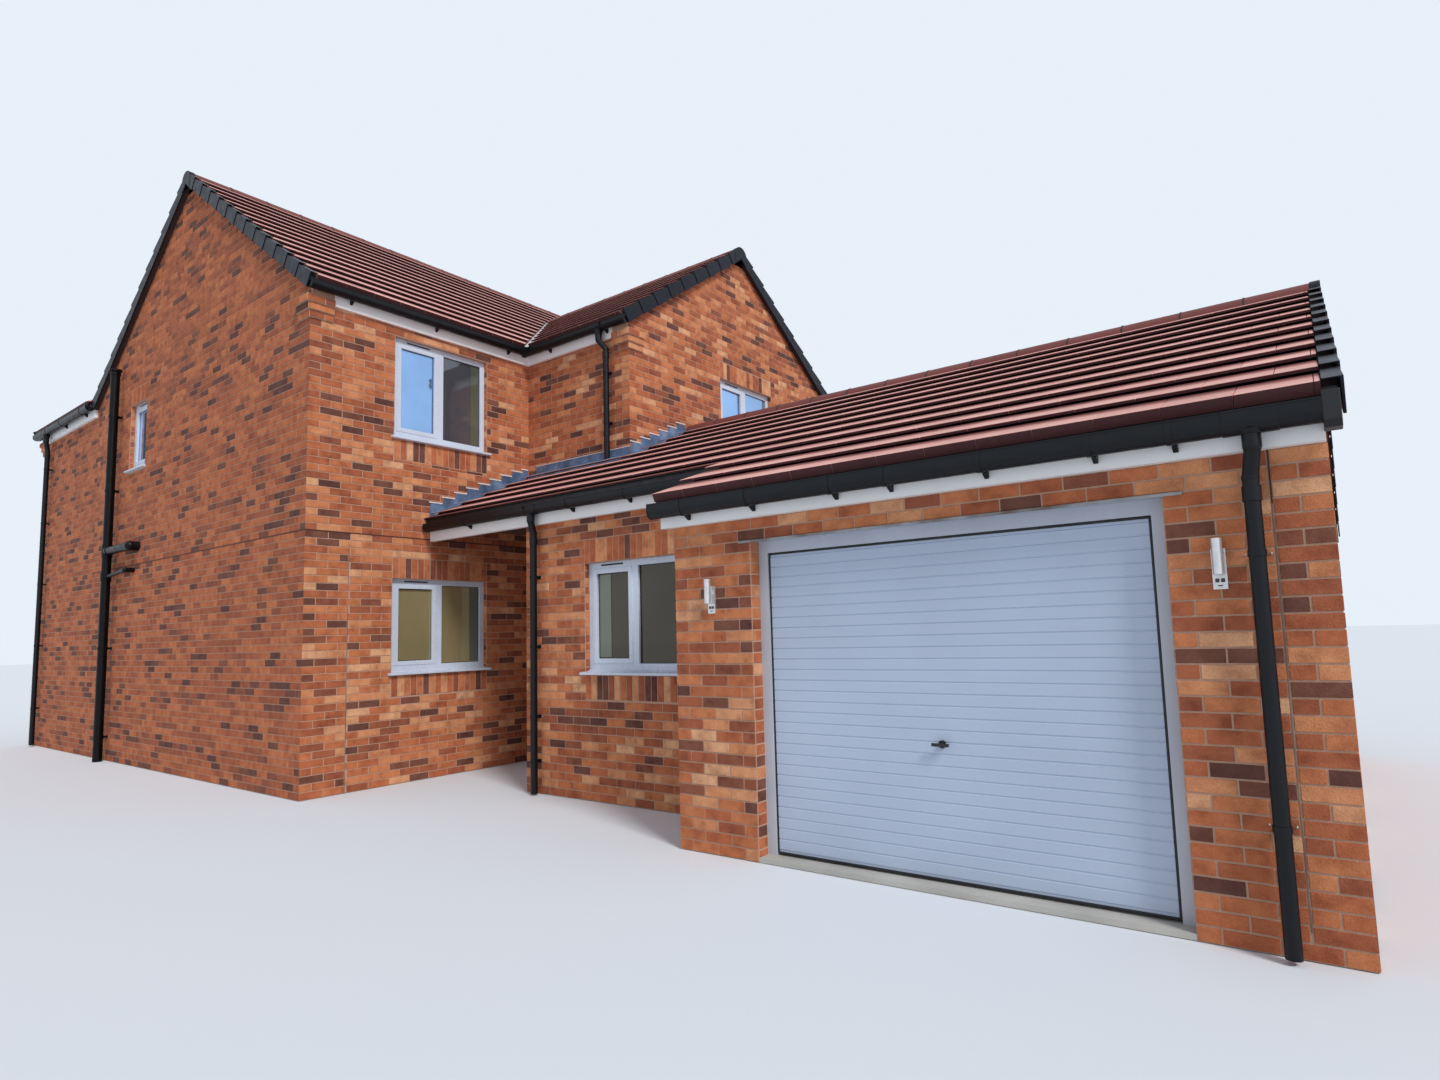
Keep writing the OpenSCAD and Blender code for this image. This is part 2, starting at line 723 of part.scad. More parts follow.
module gutter(len, outlets = []) {
  wall = 3;
  translate([0, -gutter_r - 8, 0]) {
    along_x(0, len) half_ring(gutter_r, gutter_r - wall);
    for (x = outlets) {
      along_x(x - outlet_len / 2, x + outlet_len / 2) half_ring(gutter_r + 4, gutter_r - 1);
      difference() {
        translate([x, 0, -outlet_drop + 0.3])
          cylinder(d1 = pipe_d + 16, d2 = 2 * gutter_r - 10, h = 37, $fn = 40);
        along_x(x - outlet_len / 2, x + outlet_len / 2) circle(r = gutter_r - 1, $fn = 48);
      }
    }
    for (x = [0, len - wall])
      along_x(x, x + wall)
        difference() {
          circle(r = gutter_r, $fn = 48);
          translate([-2 * gutter_r, 0]) square([4 * gutter_r, 2 * gutter_r]);
        }
  }
  row = len - 2 * bracket_in;
  n = max(1, round(row / bracket_pitch));
  for (i = [0:n])
    along_x(bracket_in + i * row / n - bracket_w / 2, bracket_in + i * row / n + bracket_w / 2)
      difference() {
        union() {
          translate([-gutter_r - 8, 0]) circle(r = gutter_r + 4, $fn = 48);
          polygon([[0, 0], [-20, 0], [-20, -gutter_r + 8], [-7, -bracket_foot], [0, -bracket_foot]]);
          translate([-8, 0]) square([8, bracket_back]);
        }
        translate([-gutter_r - 8, 0]) circle(r = gutter_r - 1, $fn = 48);
        translate([-3 * gutter_r, 0]) square([3 * gutter_r - 8, 2 * gutter_r]);
        translate([-8, bracket_back]) square([9, 2 * gutter_r]);
      }
}

// gutter rims stand just under the lowest edge of the tiles
house_gutter_z = house_eave_z - house_rise * eave_over - 3.5;
garage_gutter_z = garage_eave_z - garage_rise * eave_over - 3.5;
porch_gutter_z = garage_under(hall_back) - garage_rise * eave_over - 3.5;

// a gutter ends just short of the verge cap at its foot
verge_stop = verge_over - 0.3;
gutter_out = 2 * gutter_r + 8;

// the outermost brackets stand clear of the corbels under the verge feet
bracket_in = corbel_len + verge_stop + bracket_w / 2 + 10;

// the downpipes' places along their walls, and how far each outlet stands beside its pipe
hall_pipe_x = -hall_w + 195;
hall_offset = 10;
entrance_pipe_x = cross_x1 - wall_t;
entrance_offset = -87;
garage_pipe_x = garage_w - 290;
garage_offset = 20;
side_pipe_in = 490;
side_offset = 20;
garage_gutter_out = garage_left_over + 30;

module house_gutters() placed() color(black) {
  translate([main_x1 + fascia_t, main_y0 - verge_stop, house_gutter_z]) rotate([0, 0, 90])
    gutter(cross_y0 - main_y0 + verge_stop - fascia_t - gutter_out);
  translate([main_x1 + fascia_t, cross_y0 - fascia_t, house_gutter_z])
    gutter(
      cross_out - fascia_t + verge_stop, [entrance_pipe_x + entrance_offset - main_x1 - fascia_t]
    );
  translate([side_x0 - verge_stop, main_y0 - fascia_t, house_gutter_z])
    gutter(side_w + verge_stop - foot_gap, [side_pipe_in + side_offset + verge_stop]);
  translate([main_x0 - fascia_t, side_y1 + fascia_t, house_gutter_z]) rotate([0, 0, 180])
    gutter(side_w - fascia_t + verge_stop);
  translate([main_x0 - fascia_t, rear_y + verge_stop, house_gutter_z]) rotate([0, 0, -90])
    gutter(rear_y - side_y1 + verge_stop - fascia_t - gutter_out);
  translate([cross_x1 + verge_stop, rear_y + fascia_t, house_gutter_z]) rotate([0, 0, 180])
    gutter(cross_out + verge_stop - foot_gap);
}

module garage_gutters() placed() color(black) {
  translate([-garage_gutter_out, -garage_fascia_t, garage_gutter_z])
    gutter(
      garage_w + garage_gutter_out + verge_stop, [garage_pipe_x + garage_offset + garage_gutter_out]
    );
  translate([main_x1 + 40, hall_back - garage_fascia_t, porch_gutter_z])
    gutter(-main_x1 - 180, [hall_pipe_x + hall_offset - main_x1 - 40]);
  translate([garage_w + verge_stop, garage_d + garage_fascia_t, garage_gutter_z]) rotate([0, 0, 180])
    gutter(garage_w - cross_x1 + verge_stop - verge_over - cap_out - 10);
}

// downpipe: outlet under the gutter, swan neck back to the wall, shaft to the ground.
// Drawn for a wall facing -Y with the shaft's axis at x = 0; dx and dy give the outlet
module rod(a, b, d) {
  v = b - a;
  l = norm(v);
  translate(a) rotate([0, acos(v[2] / l), atan2(v[1], v[0])]) cylinder(d = d, h = l, $fn = 40);
}

pipe_y = pipe_d / 2 + 40;

module downpipe(top, neck, foot, dx, out, clips) {
  bend = [dx, -out, top - 60];
  knee = [0, -pipe_y, neck];
  difference() {
    union() {
      translate([dx, -out, top - 60]) cylinder(d = pipe_d + 10, h = 60, $fn = 40);
      translate(bend) sphere(d = pipe_d + 6, $fn = 40);
      rod(bend, knee, pipe_d);
      translate(knee) sphere(d = pipe_d + 6, $fn = 40);
      translate([0, -pipe_y, foot]) cylinder(d = pipe_d, h = neck - foot, $fn = 40);
      translate([0, -pipe_y, neck - 110]) cylinder(d = pipe_d + 10, h = 70, $fn = 40);
      for (z = clips) {
        translate([0, -pipe_y, z - 15]) cylinder(d = pipe_d + 8, h = 30, $fn = 40);
        translate([-12, -pipe_y, z - 12]) cube([24, pipe_y, 24]);
        translate([-24, -8, z - 15]) cube([48, 8, 30]);
      }
    }
    translate([0, -pipe_y, foot - 1]) cylinder(d = pipe_d - 8, h = 100, $fn = 40);
  }
}

module downpipes() placed() color(black) {
  translate([garage_pipe_x, 0, 0])
    downpipe(garage_gutter_z - outlet_drop, garage_gutter_z - 250, 20,
      garage_offset, garage_fascia_t + 8 + gutter_r, [564, 1774]);
  translate([hall_pipe_x, hall_back, 0])
    downpipe(porch_gutter_z - outlet_drop, porch_gutter_z - 235, 10,
      hall_offset, garage_fascia_t + 8 + gutter_r, [313, 734, 1405, 2084]);
  translate([entrance_pipe_x, cross_y0, 0])
    downpipe(house_gutter_z - outlet_drop, house_gutter_z - 240,
      garage_top(cross_y0 - pipe_y + pipe_d / 2 + 5) + flash_t + 4,
      entrance_offset, fascia_t + 8 + gutter_r, [3960, 4560]);
  translate([side_x0 + side_pipe_in, main_y0, 0])
    downpipe(house_gutter_z - outlet_drop, house_gutter_z - 280, 20,
      side_offset, fascia_t + 8 + gutter_r, [600, 1600, 2600, 3600, 4500]);
}

soil_x = main_x0 + 960;
soil_y = soil_d / 2 + 45;
soil_top = house_eave_z + 280;
soil_branch_z = upper_z + 160;
waste_z = upper_z - 200;
waste_d = 50;

// branch beside the soil pipe, from its tee along the gable to a socketed bend into the wall
module branch(z, d, len, fall) {
  far = [len, 0, z + fall];
  translate([0, 0, z - d / 2 - 35]) cylinder(d = soil_d + 16, h = d + 70, $fn = 40);
  rod([0, 0, z], far, d);
  rod([soil_d / 2, 0, z + fall * soil_d / 2 / len], [soil_d / 2 + 50, 0, z], d + 14);
  rod([len - d - 60, 0, z + fall * (len - d - 60) / len], far, d + 14);
  translate(far) sphere(d = d + 20, $fn = 40);
  translate(far) rotate([-90, 0, 0]) cylinder(d = d + 14, h = soil_y, $fn = 40);
}

// soil pipe with a vent cowl, a soil branch and a thinner waste that falls towards it
module soil_pipe() placed() color(black)
  translate([soil_x, main_y0 - soil_y, 0]) {
    cylinder(d = soil_d, h = soil_top, $fn = 40);
    translate([0, 0, soil_top - 60]) cylinder(d = soil_d + 16, h = 34, $fn = 40);
    translate([0, 0, soil_top - 6]) cylinder(d = soil_d + 44, h = 26, $fn = 40);
    for (z = [300, upper_z - 1200, upper_z + 990, soil_top - 680])
      translate([0, 0, z]) {
        cylinder(d = soil_d + 12, h = 40, $fn = 40);
        translate([-20, 0, 5]) cube([40, soil_y, 30]);
        translate([-35, soil_y - 8, 0]) cube([70, 8, 40]);
      }
    branch(soil_branch_z, soil_d, 900, 0);
    branch(waste_z, waste_d, 760, 50);
  }

// windows: drawn with x across, y inwards from the wall face, z up from the sill's underside

module sill(w) {
  nose = 45;
  horn = 38;
  along_x(0, w)
    polygon([
      [0, 0], [recess + frame_d, 0], [recess + frame_d, sill_h], [recess, sill_h], [0, sill_h - 14]
    ]);
  along_x(-horn, w + horn)
    polygon([[-nose, 4], [0, 0], [0, sill_h - 14], [-nose, sill_h - 20]]);
}

sash_bar = 46;
light_gap = 74;

module window_frame(w, h, lights) {
  fw = lights == 1 ? w : (w - light_gap) / 2;
  sill(w);
  translate([0, recess, sill_h]) {
    difference() {
      cube([w, frame_d, h - sill_h]);
      for (i = [0:lights - 1])
        translate([i * (fw - frame_bar + light_gap) + frame_bar, -1, frame_bar])
          cube([fw - (lights == 1 ? 2 : 1) * frame_bar, frame_d + 2, h - sill_h - 2 * frame_bar]);
    }
    translate([frame_bar, -6, frame_bar])
      difference() {
        cube([fw - (lights == 1 ? 2 : 1) * frame_bar, frame_d - 8, h - sill_h - 2 * frame_bar]);
        translate([sash_bar, -1, sash_bar])
          cube([
            fw - (lights == 1 ? 2 : 1) * frame_bar - 2 * sash_bar, frame_d + 2,
            h - sill_h - 2 * frame_bar - 2 * sash_bar
          ]);
      }
  }
}

// double glazing that fills the lights of the frame above
module glazing(w, h, lights) {
  fw = lights == 1 ? w : (w - light_gap) / 2;
  lw = fw - (lights == 1 ? 2 : 1) * frame_bar;
  lh = h - sill_h - 2 * frame_bar;
  translate([frame_bar + sash_bar, recess + 22, sill_h + frame_bar + sash_bar])
    cube([lw - 2 * sash_bar, 28, lh - 2 * sash_bar]);
  if (lights == 2)
    translate([fw + light_gap, recess + 22, sill_h + frame_bar]) cube([lw, 28, lh]);
}

module at_upper_window() translate([main_x1, upper_win_y, upper_sill_z]) rotate([0, 0, 90]) children();
module at_lower_window() translate([main_x1, upper_win_y, lower_sill_z]) rotate([0, 0, 90]) children();
module at_cross_window()
  translate([cross_x1, cross_win_y, upper_sill_z + upper_h - cross_h]) rotate([0, 0, 90]) children();
module at_hall_window() translate([hall_win_x, hall_back, lower_sill_z]) children();
module at_small_window()
  translate([small_win_x, main_y0, upper_sill_z + upper_h - small_h]) children();
module at_rear_windows(z) {
  translate([rear_wins[0] + window_w, side_y1, z]) rotate([0, 0, 180]) children();
  for (x = [rear_wins[1], rear_wins[2], rear_cross_win])
    translate([x + window_w, rear_y, z]) rotate([0, 0, 180]) children();
}

module upper_window() placed() color(upvc) at_upper_window() window_frame(window_w, upper_h, 2);
module lower_window() placed() color(upvc) at_lower_window() window_frame(window_w, lower_h, 2);
module hall_window() placed() color(upvc) at_hall_window() window_frame(window_w, lower_h, 2);
module small_gable_window() placed() color(upvc)
  at_small_window() window_frame(small_w, small_h, 1);
module cross_gable_window() placed() color(upvc)
  at_cross_window() window_frame(window_w, cross_h, 2);
module rear_windows() placed() color(upvc) {
  at_rear_windows(lower_sill_z) window_frame(window_w, lower_h, 2);
  at_rear_windows(upper_sill_z) window_frame(window_w, upper_h, 2);
}

module upper_glass() placed() color(pane) {
  at_upper_window() glazing(window_w, upper_h, 2);
  at_cross_window() glazing(window_w, cross_h, 2);
  at_small_window() glazing(small_w, small_h, 1);
  at_rear_windows(upper_sill_z) glazing(window_w, upper_h, 2);
}

module lower_glass() placed() color(pane) {
  at_lower_window() glazing(window_w, lower_h, 2);
  at_hall_window() glazing(window_w, lower_h, 2);
  at_rear_windows(lower_sill_z) glazing(window_w, lower_h, 2);
}

// front door deep in the porch, shut
module front_door() placed() color(white)
  translate([door_x, cross_y0 + 60, floor_z]) {
    difference() {
      cube([door_w, 70, door_h]);
      translate([60, -1, 35]) cube([door_w - 120, 72, door_h - 95]);
    }
    translate([60, 12, 35]) cube([door_w - 120, 46, door_h - 95]);
    translate([door_w - 125, -38, 1000]) {
      translate([0, 0, -90]) cube([30, 8, 220]);
      translate([15, 4, 0]) rotate([90, 0, 0]) cylinder(d = 18, h = 40, $fn = 24);
      translate([-95, -40, -9]) cube([120, 16, 18]);
    }
    translate([door_w - 125, -38, 910]) cube([30, 50, 220]);
  }

// garage door: an up and over leaf whose top runs back on rollers in two tracks

module garage_lintel() placed() color(white)
  block([door_x0, 0, frame_top], [door_x1, garage_wall_t, door_open_h]);

module garage_door_frame() placed() color(door_blue)
  difference() {
    block([door_x0, reveal, 30], [door_x1, reveal + door_frame_d, frame_top]);
    block([door_x0 + leg_w, 0, 0], [door_x1 - leg_w, garage_wall_t, frame_top - head_h]);
  }

// one track: a channel open towards the leaf, hung from the roof near its back end
module track() {
  y0 = reveal + door_frame_d;
  y1 = spindle_y + track_run + 60;
  difference() {
    block([-track_w, y0, track_z0], [0, y1, track_z1]);
    block(
      [-track_w + track_wall, y0 + 4, track_z0 + track_wall],
      [1, y1 - 6, track_z1 - track_wall]
    );
  }
  hang_y = y1 - 60;
  block([-track_w, hang_y - 20, track_z1], [-track_w + 5, hang_y + 20, garage_under(hang_y - 20)]);
}

module door_tracks() placed() color(galvanised) {
  translate([door_x0 + leg_w - 5, 0, 0]) track();
  translate([door_x1 - leg_w + 5, 0, 0]) mirror([1, 0, 0]) track();
}

module door_carriage() placed() color(galvanised) {
  x0 = door_x0 + leg_w - 5 - track_w + track_wall + 3;
  x1 = door_x1 - leg_w + 5 + track_w - track_wall - 3;
  translate([x0, spindle_y, spindle_z]) rotate([0, 90, 0]) {
    cylinder(d = spindle_d, h = x1 - x0, $fn = 32);
    cylinder(d = roller_d, h = roller_w, $fn = 48);
    translate([0, 0, x1 - x0 - roller_w]) cylinder(d = roller_d, h = roller_w, $fn = 48);
  }
}

// leaf: a pressed skin of level ribs on a steel frame, with two hinge plates on the spindle
skin_t = 14;
leaf_w = leaf_x1 - leaf_x0;
leaf_h = leaf_z1 - leaf_z0;
rib_pitch = (leaf_h - 40) / ribs;

module rib_profile()
  polygon(concat(
    [[skin_t, 0], [4, 0], [4, 20]],
    [for (i = [0:ribs - 1])
      each [
        [4, 20 + i * rib_pitch + 2], [0, 20 + i * rib_pitch + 6],
        [0, 20 + (i + 1) * rib_pitch - 6], [4, 20 + (i + 1) * rib_pitch - 2]
      ]],
    [[4, leaf_h], [skin_t, leaf_h]]
  ));

module garage_door_leaf() placed() color(door_blue)
  translate([leaf_x0, leaf_y0, leaf_z0]) {
    along_x(0, leaf_w) rib_profile();
    difference() {
      translate([0, skin_t, 0]) cube([leaf_w, leaf_t - skin_t, leaf_h]);
      for (i = [0:2], k = [0, 1])
        translate([
          40 + i * (leaf_w - 40) / 3, skin_t - 1,
          40 + k * (leaf_h - 40) / 2
        ])
          cube([(leaf_w - 40) / 3 - 40, leaf_t, (leaf_h - 40) / 2 - 40]);
    }
    for (x = [30, leaf_w - 60])
      translate([x, 0, leaf_h - spindle_drop])
        difference() {
          union() {
            translate([0, leaf_t, -35]) cube([30, spindle_y - leaf_y0 - leaf_t, 70]);
            translate([0, spindle_y - leaf_y0, 0]) rotate([0, 90, 0]) cylinder(d = 70, h = 30, $fn = 48);
          }
          translate([-1, spindle_y - leaf_y0, 0]) rotate([0, 90, 0])
            cylinder(d = spindle_d + 0.6, h = 32, $fn = 48);
        }
  }

// turning handle in the middle of the leaf
handle_z = 810;
module door_handle() placed() color(black)
  translate([(leaf_x0 + leaf_x1) / 2, leaf_y0, handle_z]) rotate([90, 0, 0]) {
    cylinder(d = 46, h = 10, $fn = 40);
    cylinder(d = 20, h = 34, $fn = 32);
    translate([-50, -9, 30]) cube([100, 18, 16]);
  }

// up and down lights beside the doorway
light_x = [door_x0 / 2, garage_pipe_x - 158];
light_z = 1622;
module wall_lights() placed() color(steel)
  for (x = light_x)
    translate([x, 0, light_z]) {
      translate([-30, -14, 0]) cube([60, 14, 190]);
      translate([-10, -38, 130]) cube([20, 26, 30]);
      translate([0, -56, 68]) cylinder(d = 46, h = 168, $fn = 40);
    }

front_gable_wall();
side_front_wall();
side_end_wall();
side_back_wall();
main_left_wall();
rear_gable_wall();
cross_back_wall();
window_wall();
entrance_wall();
cross_gable_wall();
hall_wall();
hall_return_wall();
garage_return_wall();
garage_piers();
garage_head_wall();
garage_end_wall();
garage_back_wall();
ground_floor();
garage_floor();
upper_floor();
main_roof();
cross_roof();
side_roof();
garage_roof();
ridge_tiles();
verge_caps();
lead_flashing();
house_fascia();
garage_fascia();
porch_soffit();
house_gutters();
garage_gutters();
downpipes();
soil_pipe();
upper_window();
lower_window();
hall_window();
small_gable_window();
cross_gable_window();
rear_windows();
upper_glass();
lower_glass();
front_door();
garage_lintel();
garage_door_frame();
door_tracks();
door_carriage();
garage_door_leaf();
door_handle();
wall_lights();
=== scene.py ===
import math
import random

import bmesh
import bpy
from mathutils import Matrix, Vector


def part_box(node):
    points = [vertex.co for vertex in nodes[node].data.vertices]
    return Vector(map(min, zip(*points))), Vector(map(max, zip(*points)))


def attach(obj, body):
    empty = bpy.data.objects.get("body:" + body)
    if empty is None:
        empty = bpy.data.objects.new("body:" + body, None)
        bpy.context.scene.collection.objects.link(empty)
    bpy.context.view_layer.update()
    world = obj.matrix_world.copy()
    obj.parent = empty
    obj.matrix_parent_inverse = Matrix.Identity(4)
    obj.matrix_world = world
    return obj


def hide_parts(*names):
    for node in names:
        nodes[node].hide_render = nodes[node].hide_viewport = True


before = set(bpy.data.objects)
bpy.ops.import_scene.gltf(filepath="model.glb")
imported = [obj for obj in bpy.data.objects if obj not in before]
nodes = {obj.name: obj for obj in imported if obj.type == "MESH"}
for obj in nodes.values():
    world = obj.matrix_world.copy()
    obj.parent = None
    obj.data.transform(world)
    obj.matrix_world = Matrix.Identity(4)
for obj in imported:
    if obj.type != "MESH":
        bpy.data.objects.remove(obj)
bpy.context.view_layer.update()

# Camera. It stands on the drive at eye level and looks up a little, across the garage
# front towards the main gable. Its place is kept from the garage's front left corner.
garage_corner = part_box("garage_piers")[0]
eye = garage_corner + Vector((3.786, -4.362, 1.4805))
image_width = 1440
focal_px = 801.69
centre_px = (736.78, 555.35)

camera_data = bpy.data.cameras.new("drive_camera")
camera_data.sensor_width = 36
camera_data.lens = focal_px * camera_data.sensor_width / image_width
camera_data.shift_x = (720 - centre_px[0]) / image_width
camera_data.shift_y = (centre_px[1] - 540) / image_width
camera = bpy.data.objects.new("drive_camera", camera_data)
bpy.context.scene.collection.objects.link(camera)
camera.matrix_world = (
    Matrix.Translation(eye)
    @ Matrix.Rotation(0.6379, 4, "Z")
    @ Matrix.Rotation(math.radians(90) + 0.097, 4, "X")
    @ Matrix.Rotation(-0.0284, 4, "Z")
)
bpy.context.scene.camera = camera
bpy.context.scene.view_settings.view_transform = "Standard"

# Floor, world and lamp. A wide pale floor and a pale surround light the house softly from
# all round, and one broad lamp from the right gives the walls that face it the most light.


def srgb(red, green, blue):
    """A colour written as 0 to 255 turned into the linear values that shaders take."""
    linear = []
    for value in (red, green, blue):
        part = value / 255
        linear.append(part / 12.92 if part <= 0.04045 else ((part + 0.055) / 1.055) ** 2.4)
    return (*linear, 1)


def plain_material(name, colour, roughness):
    material = bpy.data.materials.new(name)
    material.use_nodes = True
    shader = material.node_tree.nodes["Principled BSDF"]
    shader.inputs["Base Color"].default_value = colour
    shader.inputs["Roughness"].default_value = roughness
    return material, material.node_tree, shader


def mesh_object(name, bm, material):
    mesh = bpy.data.meshes.new(name)
    bm.to_mesh(mesh)
    bm.free()
    mesh.materials.append(material)
    made = bpy.data.objects.new(name, mesh)
    bpy.context.scene.collection.objects.link(made)
    return made


floor_grey, _, _ = plain_material("floor_grey", srgb(226, 229, 233), 0.9)
floor_radius, floor_drop = 140, 0.004
bm = bmesh.new()
bmesh.ops.create_circle(bm, cap_ends=True, segments=96, radius=floor_radius)
bmesh.ops.translate(bm, verts=bm.verts, vec=(0, 0, -floor_drop))
mesh_object("studio_floor", bm, floor_grey)


def math_node(tree, operation, first, second):
    """A sum or comparison of two values, each a number or another node's output."""
    made = tree.nodes.new("ShaderNodeMath")
    made.operation = operation
    for socket, value in ((made.inputs[0], first), (made.inputs[1], second)):
        if isinstance(value, (int, float)):
            socket.default_value = value
        else:
            tree.links.new(value, socket)
    return made.outputs[0]


world = bpy.data.worlds.new("studio_world")
world.use_nodes = True
bpy.context.scene.world = world
sky_tree = world.node_tree
lit_sky = sky_tree.nodes["Background"]
shown_sky = sky_tree.nodes.new("ShaderNodeBackground")
for sky, colour, strength in (
    (lit_sky, srgb(226, 236, 248), 0.62),
    (shown_sky, srgb(232, 240, 250), 1.0),
):
    sky.inputs["Color"].default_value = colour
    sky.inputs["Strength"].default_value = strength
ray = sky_tree.nodes.new("ShaderNodeLightPath")
seen = math_node(sky_tree, "MAXIMUM", ray.outputs["Is Camera Ray"], ray.outputs["Is Glossy Ray"])
seen = math_node(sky_tree, "MAXIMUM", seen, ray.outputs["Is Transmission Ray"])
which_sky = sky_tree.nodes.new("ShaderNodeMixShader")
for output, socket in (
    (seen, which_sky.inputs["Fac"]),
    (lit_sky.outputs["Background"], which_sky.inputs[1]),
    (shown_sky.outputs["Background"], which_sky.inputs[2]),
    (which_sky.outputs["Shader"], sky_tree.nodes["World Output"].inputs["Surface"]),
):
    sky_tree.links.new(output, socket)

lamp_data = bpy.data.lights.new("broad_lamp", "SUN")
lamp_data.energy = 2.1
lamp_data.angle = math.radians(14)
lamp = bpy.data.objects.new("broad_lamp", lamp_data)
lamp.rotation_euler = Vector((0.78, -0.32, 0.75)).to_track_quat("Z", "Y").to_euler()
bpy.context.scene.collection.objects.link(lamp)

# Brickwork. Wire-cut facing bricks, 215 by 65 mm on the face, stand a few millimetres proud
# of recessed pale mortar in stretcher bond; one in eight is burnt dark and some are pale.

course = 0.075
stretcher = 0.225
brick_joint = 0.0095
brick_proud = 0.004
rng = random.Random(7)


def weathering_group():
    """Soft patches over the surface, from Low to High, at a scale in patches per metre."""
    group = bpy.data.node_groups.new("weathering", "ShaderNodeTree")
    for name, value in (("Scale", 4.0), ("Low", 0.0), ("High", 1.0)):
        socket = group.interface.new_socket(name, in_out="INPUT", socket_type="NodeSocketFloat")
        socket.default_value = value
    group.interface.new_socket("Value", in_out="OUTPUT", socket_type="NodeSocketFloat")
    inside = group.nodes.new("NodeGroupInput")
    outside = group.nodes.new("NodeGroupOutput")
    where = group.nodes.new("ShaderNodeTexCoord")
    patches = group.nodes.new("ShaderNodeTexNoise")
    patches.inputs["Detail"].default_value = 6
    span = group.nodes.new("ShaderNodeMapRange")
    span.inputs["From Min"].default_value = 0.3
    span.inputs["From Max"].default_value = 0.7
    group.links.new(where.outputs["Object"], patches.inputs["Vector"])
    group.links.new(inside.outputs["Scale"], patches.inputs["Scale"])
    group.links.new(patches.outputs["Fac"], span.inputs["Value"])
    group.links.new(inside.outputs["Low"], span.inputs["To Min"])
    group.links.new(inside.outputs["High"], span.inputs["To Max"])
    group.links.new(span.outputs["Result"], outside.inputs["Value"])
    return group


weathering = weathering_group()


def patches(tree, scale, low, high):
    made = tree.nodes.new("ShaderNodeGroup")
    made.node_tree = weathering
    made.inputs["Scale"].default_value = scale
    made.inputs["Low"].default_value = low
    made.inputs["High"].default_value = high
    return made.outputs["Value"]


def times(tree, colour, amount):
    """The colour multiplied all over by a value from another node."""
    made = tree.nodes.new("ShaderNodeMix")
    made.data_type = "RGBA"
    made.blend_type = "MULTIPLY"
    made.inputs["Factor"].default_value = 1
    tree.links.new(colour, made.inputs["A"])
    tree.links.new(amount, made.inputs["B"])
    return made.outputs["Result"]


def tinted(tree, shader, colour, scale, low, high):
    """Gives a shader one colour that soft patches make a little darker and lighter."""
    own = tree.nodes.new("ShaderNodeRGB")
    own.outputs[0].default_value = colour
    result = times(tree, own.outputs[0], patches(tree, scale, low, high))
    tree.links.new(result, shader.inputs["Base Color"])


def roughened(tree, shader, scale, low, high):
    tree.links.new(patches(tree, scale, low, high), shader.inputs["Roughness"])


def bumped(tree, shader, scale, strength, distance):
    bump = tree.nodes.new("ShaderNodeBump")
    bump.inputs["Strength"].default_value = strength
    bump.inputs["Distance"].default_value = distance
    tree.links.new(patches(tree, scale, 0, 1), bump.inputs["Height"])
    tree.links.new(bump.outputs["Normal"], shader.inputs["Normal"])


def shade_ramp(tree, value, stops):
    ramp = tree.nodes.new("ShaderNodeValToRGB")
    elements = ramp.color_ramp.elements
    elements[0].position, elements[0].color = stops[0]
    elements[1].position, elements[1].color = stops[-1]
    for position, colour in stops[1:-1]:
        elements.new(position).color = colour
    tree.links.new(value, ramp.inputs["Fac"])
    return ramp.outputs["Color"]


def attribute_value(tree, name):
    """A value that each brick or tile keeps over its own faces or corners."""
    made = tree.nodes.new("ShaderNodeAttribute")
    made.attribute_name = name
    return made.outputs["Fac"]


def surface(name, colour, roughness, tint=None, ramp=None, rough=None, bump=None, metallic=0.0,
            specular=0.5):
    """A whole material. tint is (scale, low, high), and ramp, which takes its place, is (scale,
    stops); rough is (scale, low, high) and bump is (scale, strength, distance)."""
    material, tree, shader = plain_material(name, colour, roughness)
    shader.inputs["Metallic"].default_value = metallic
    shader.inputs["Specular IOR Level"].default_value = specular
    if ramp:
        shades = shade_ramp(tree, patches(tree, ramp[0], 0, 1), ramp[1])
        tree.links.new(shades, shader.inputs["Base Color"])
    else:
        tinted(tree, shader, colour, *tint)
    if rough:
        roughened(tree, shader, *rough)
    if bump:
        bumped(tree, shader, *bump)
    return material


def brick_material():
    material, tree, shader = plain_material("facing_brick", srgb(160, 96, 70), 0.85)
    shader.inputs["Specular IOR Level"].default_value = 0.25
    clay = shade_ramp(tree, attribute_value(tree, "tone"), [
        (0.0, srgb(98, 62, 54)),
        (0.1, srgb(124, 78, 62)),
        (0.16, srgb(158, 89, 62)),
        (0.45, srgb(186, 106, 69)),
        (0.75, srgb(201, 124, 81)),
        (0.9, srgb(214, 144, 100)),
        (1.0, srgb(224, 168, 126)),
    ])
    blotches = shade_ramp(tree, patches(tree, 11, 0, 1), [
        (0.0, (0.68, 0.6, 0.6, 1)),
        (0.3, (0.86, 0.83, 0.84, 1)),
        (0.62, (1, 1, 1, 1)),
        (1.0, (1.1, 1.16, 1.2, 1)),
    ])
    blotched = times(tree, clay, blotches)
    tree.links.new(times(tree, blotched, patches(tree, 120, 0.84, 1.1)), shader.inputs["Base Color"])
    bumped(tree, shader, 150, 0.5, 0.003)
    return material


facing_brick = brick_material()

mortar_colour = srgb(190, 150, 126)
plaster_colour = srgb(226, 220, 208)
outer_leaf = 0.11
wall_end = 0.1


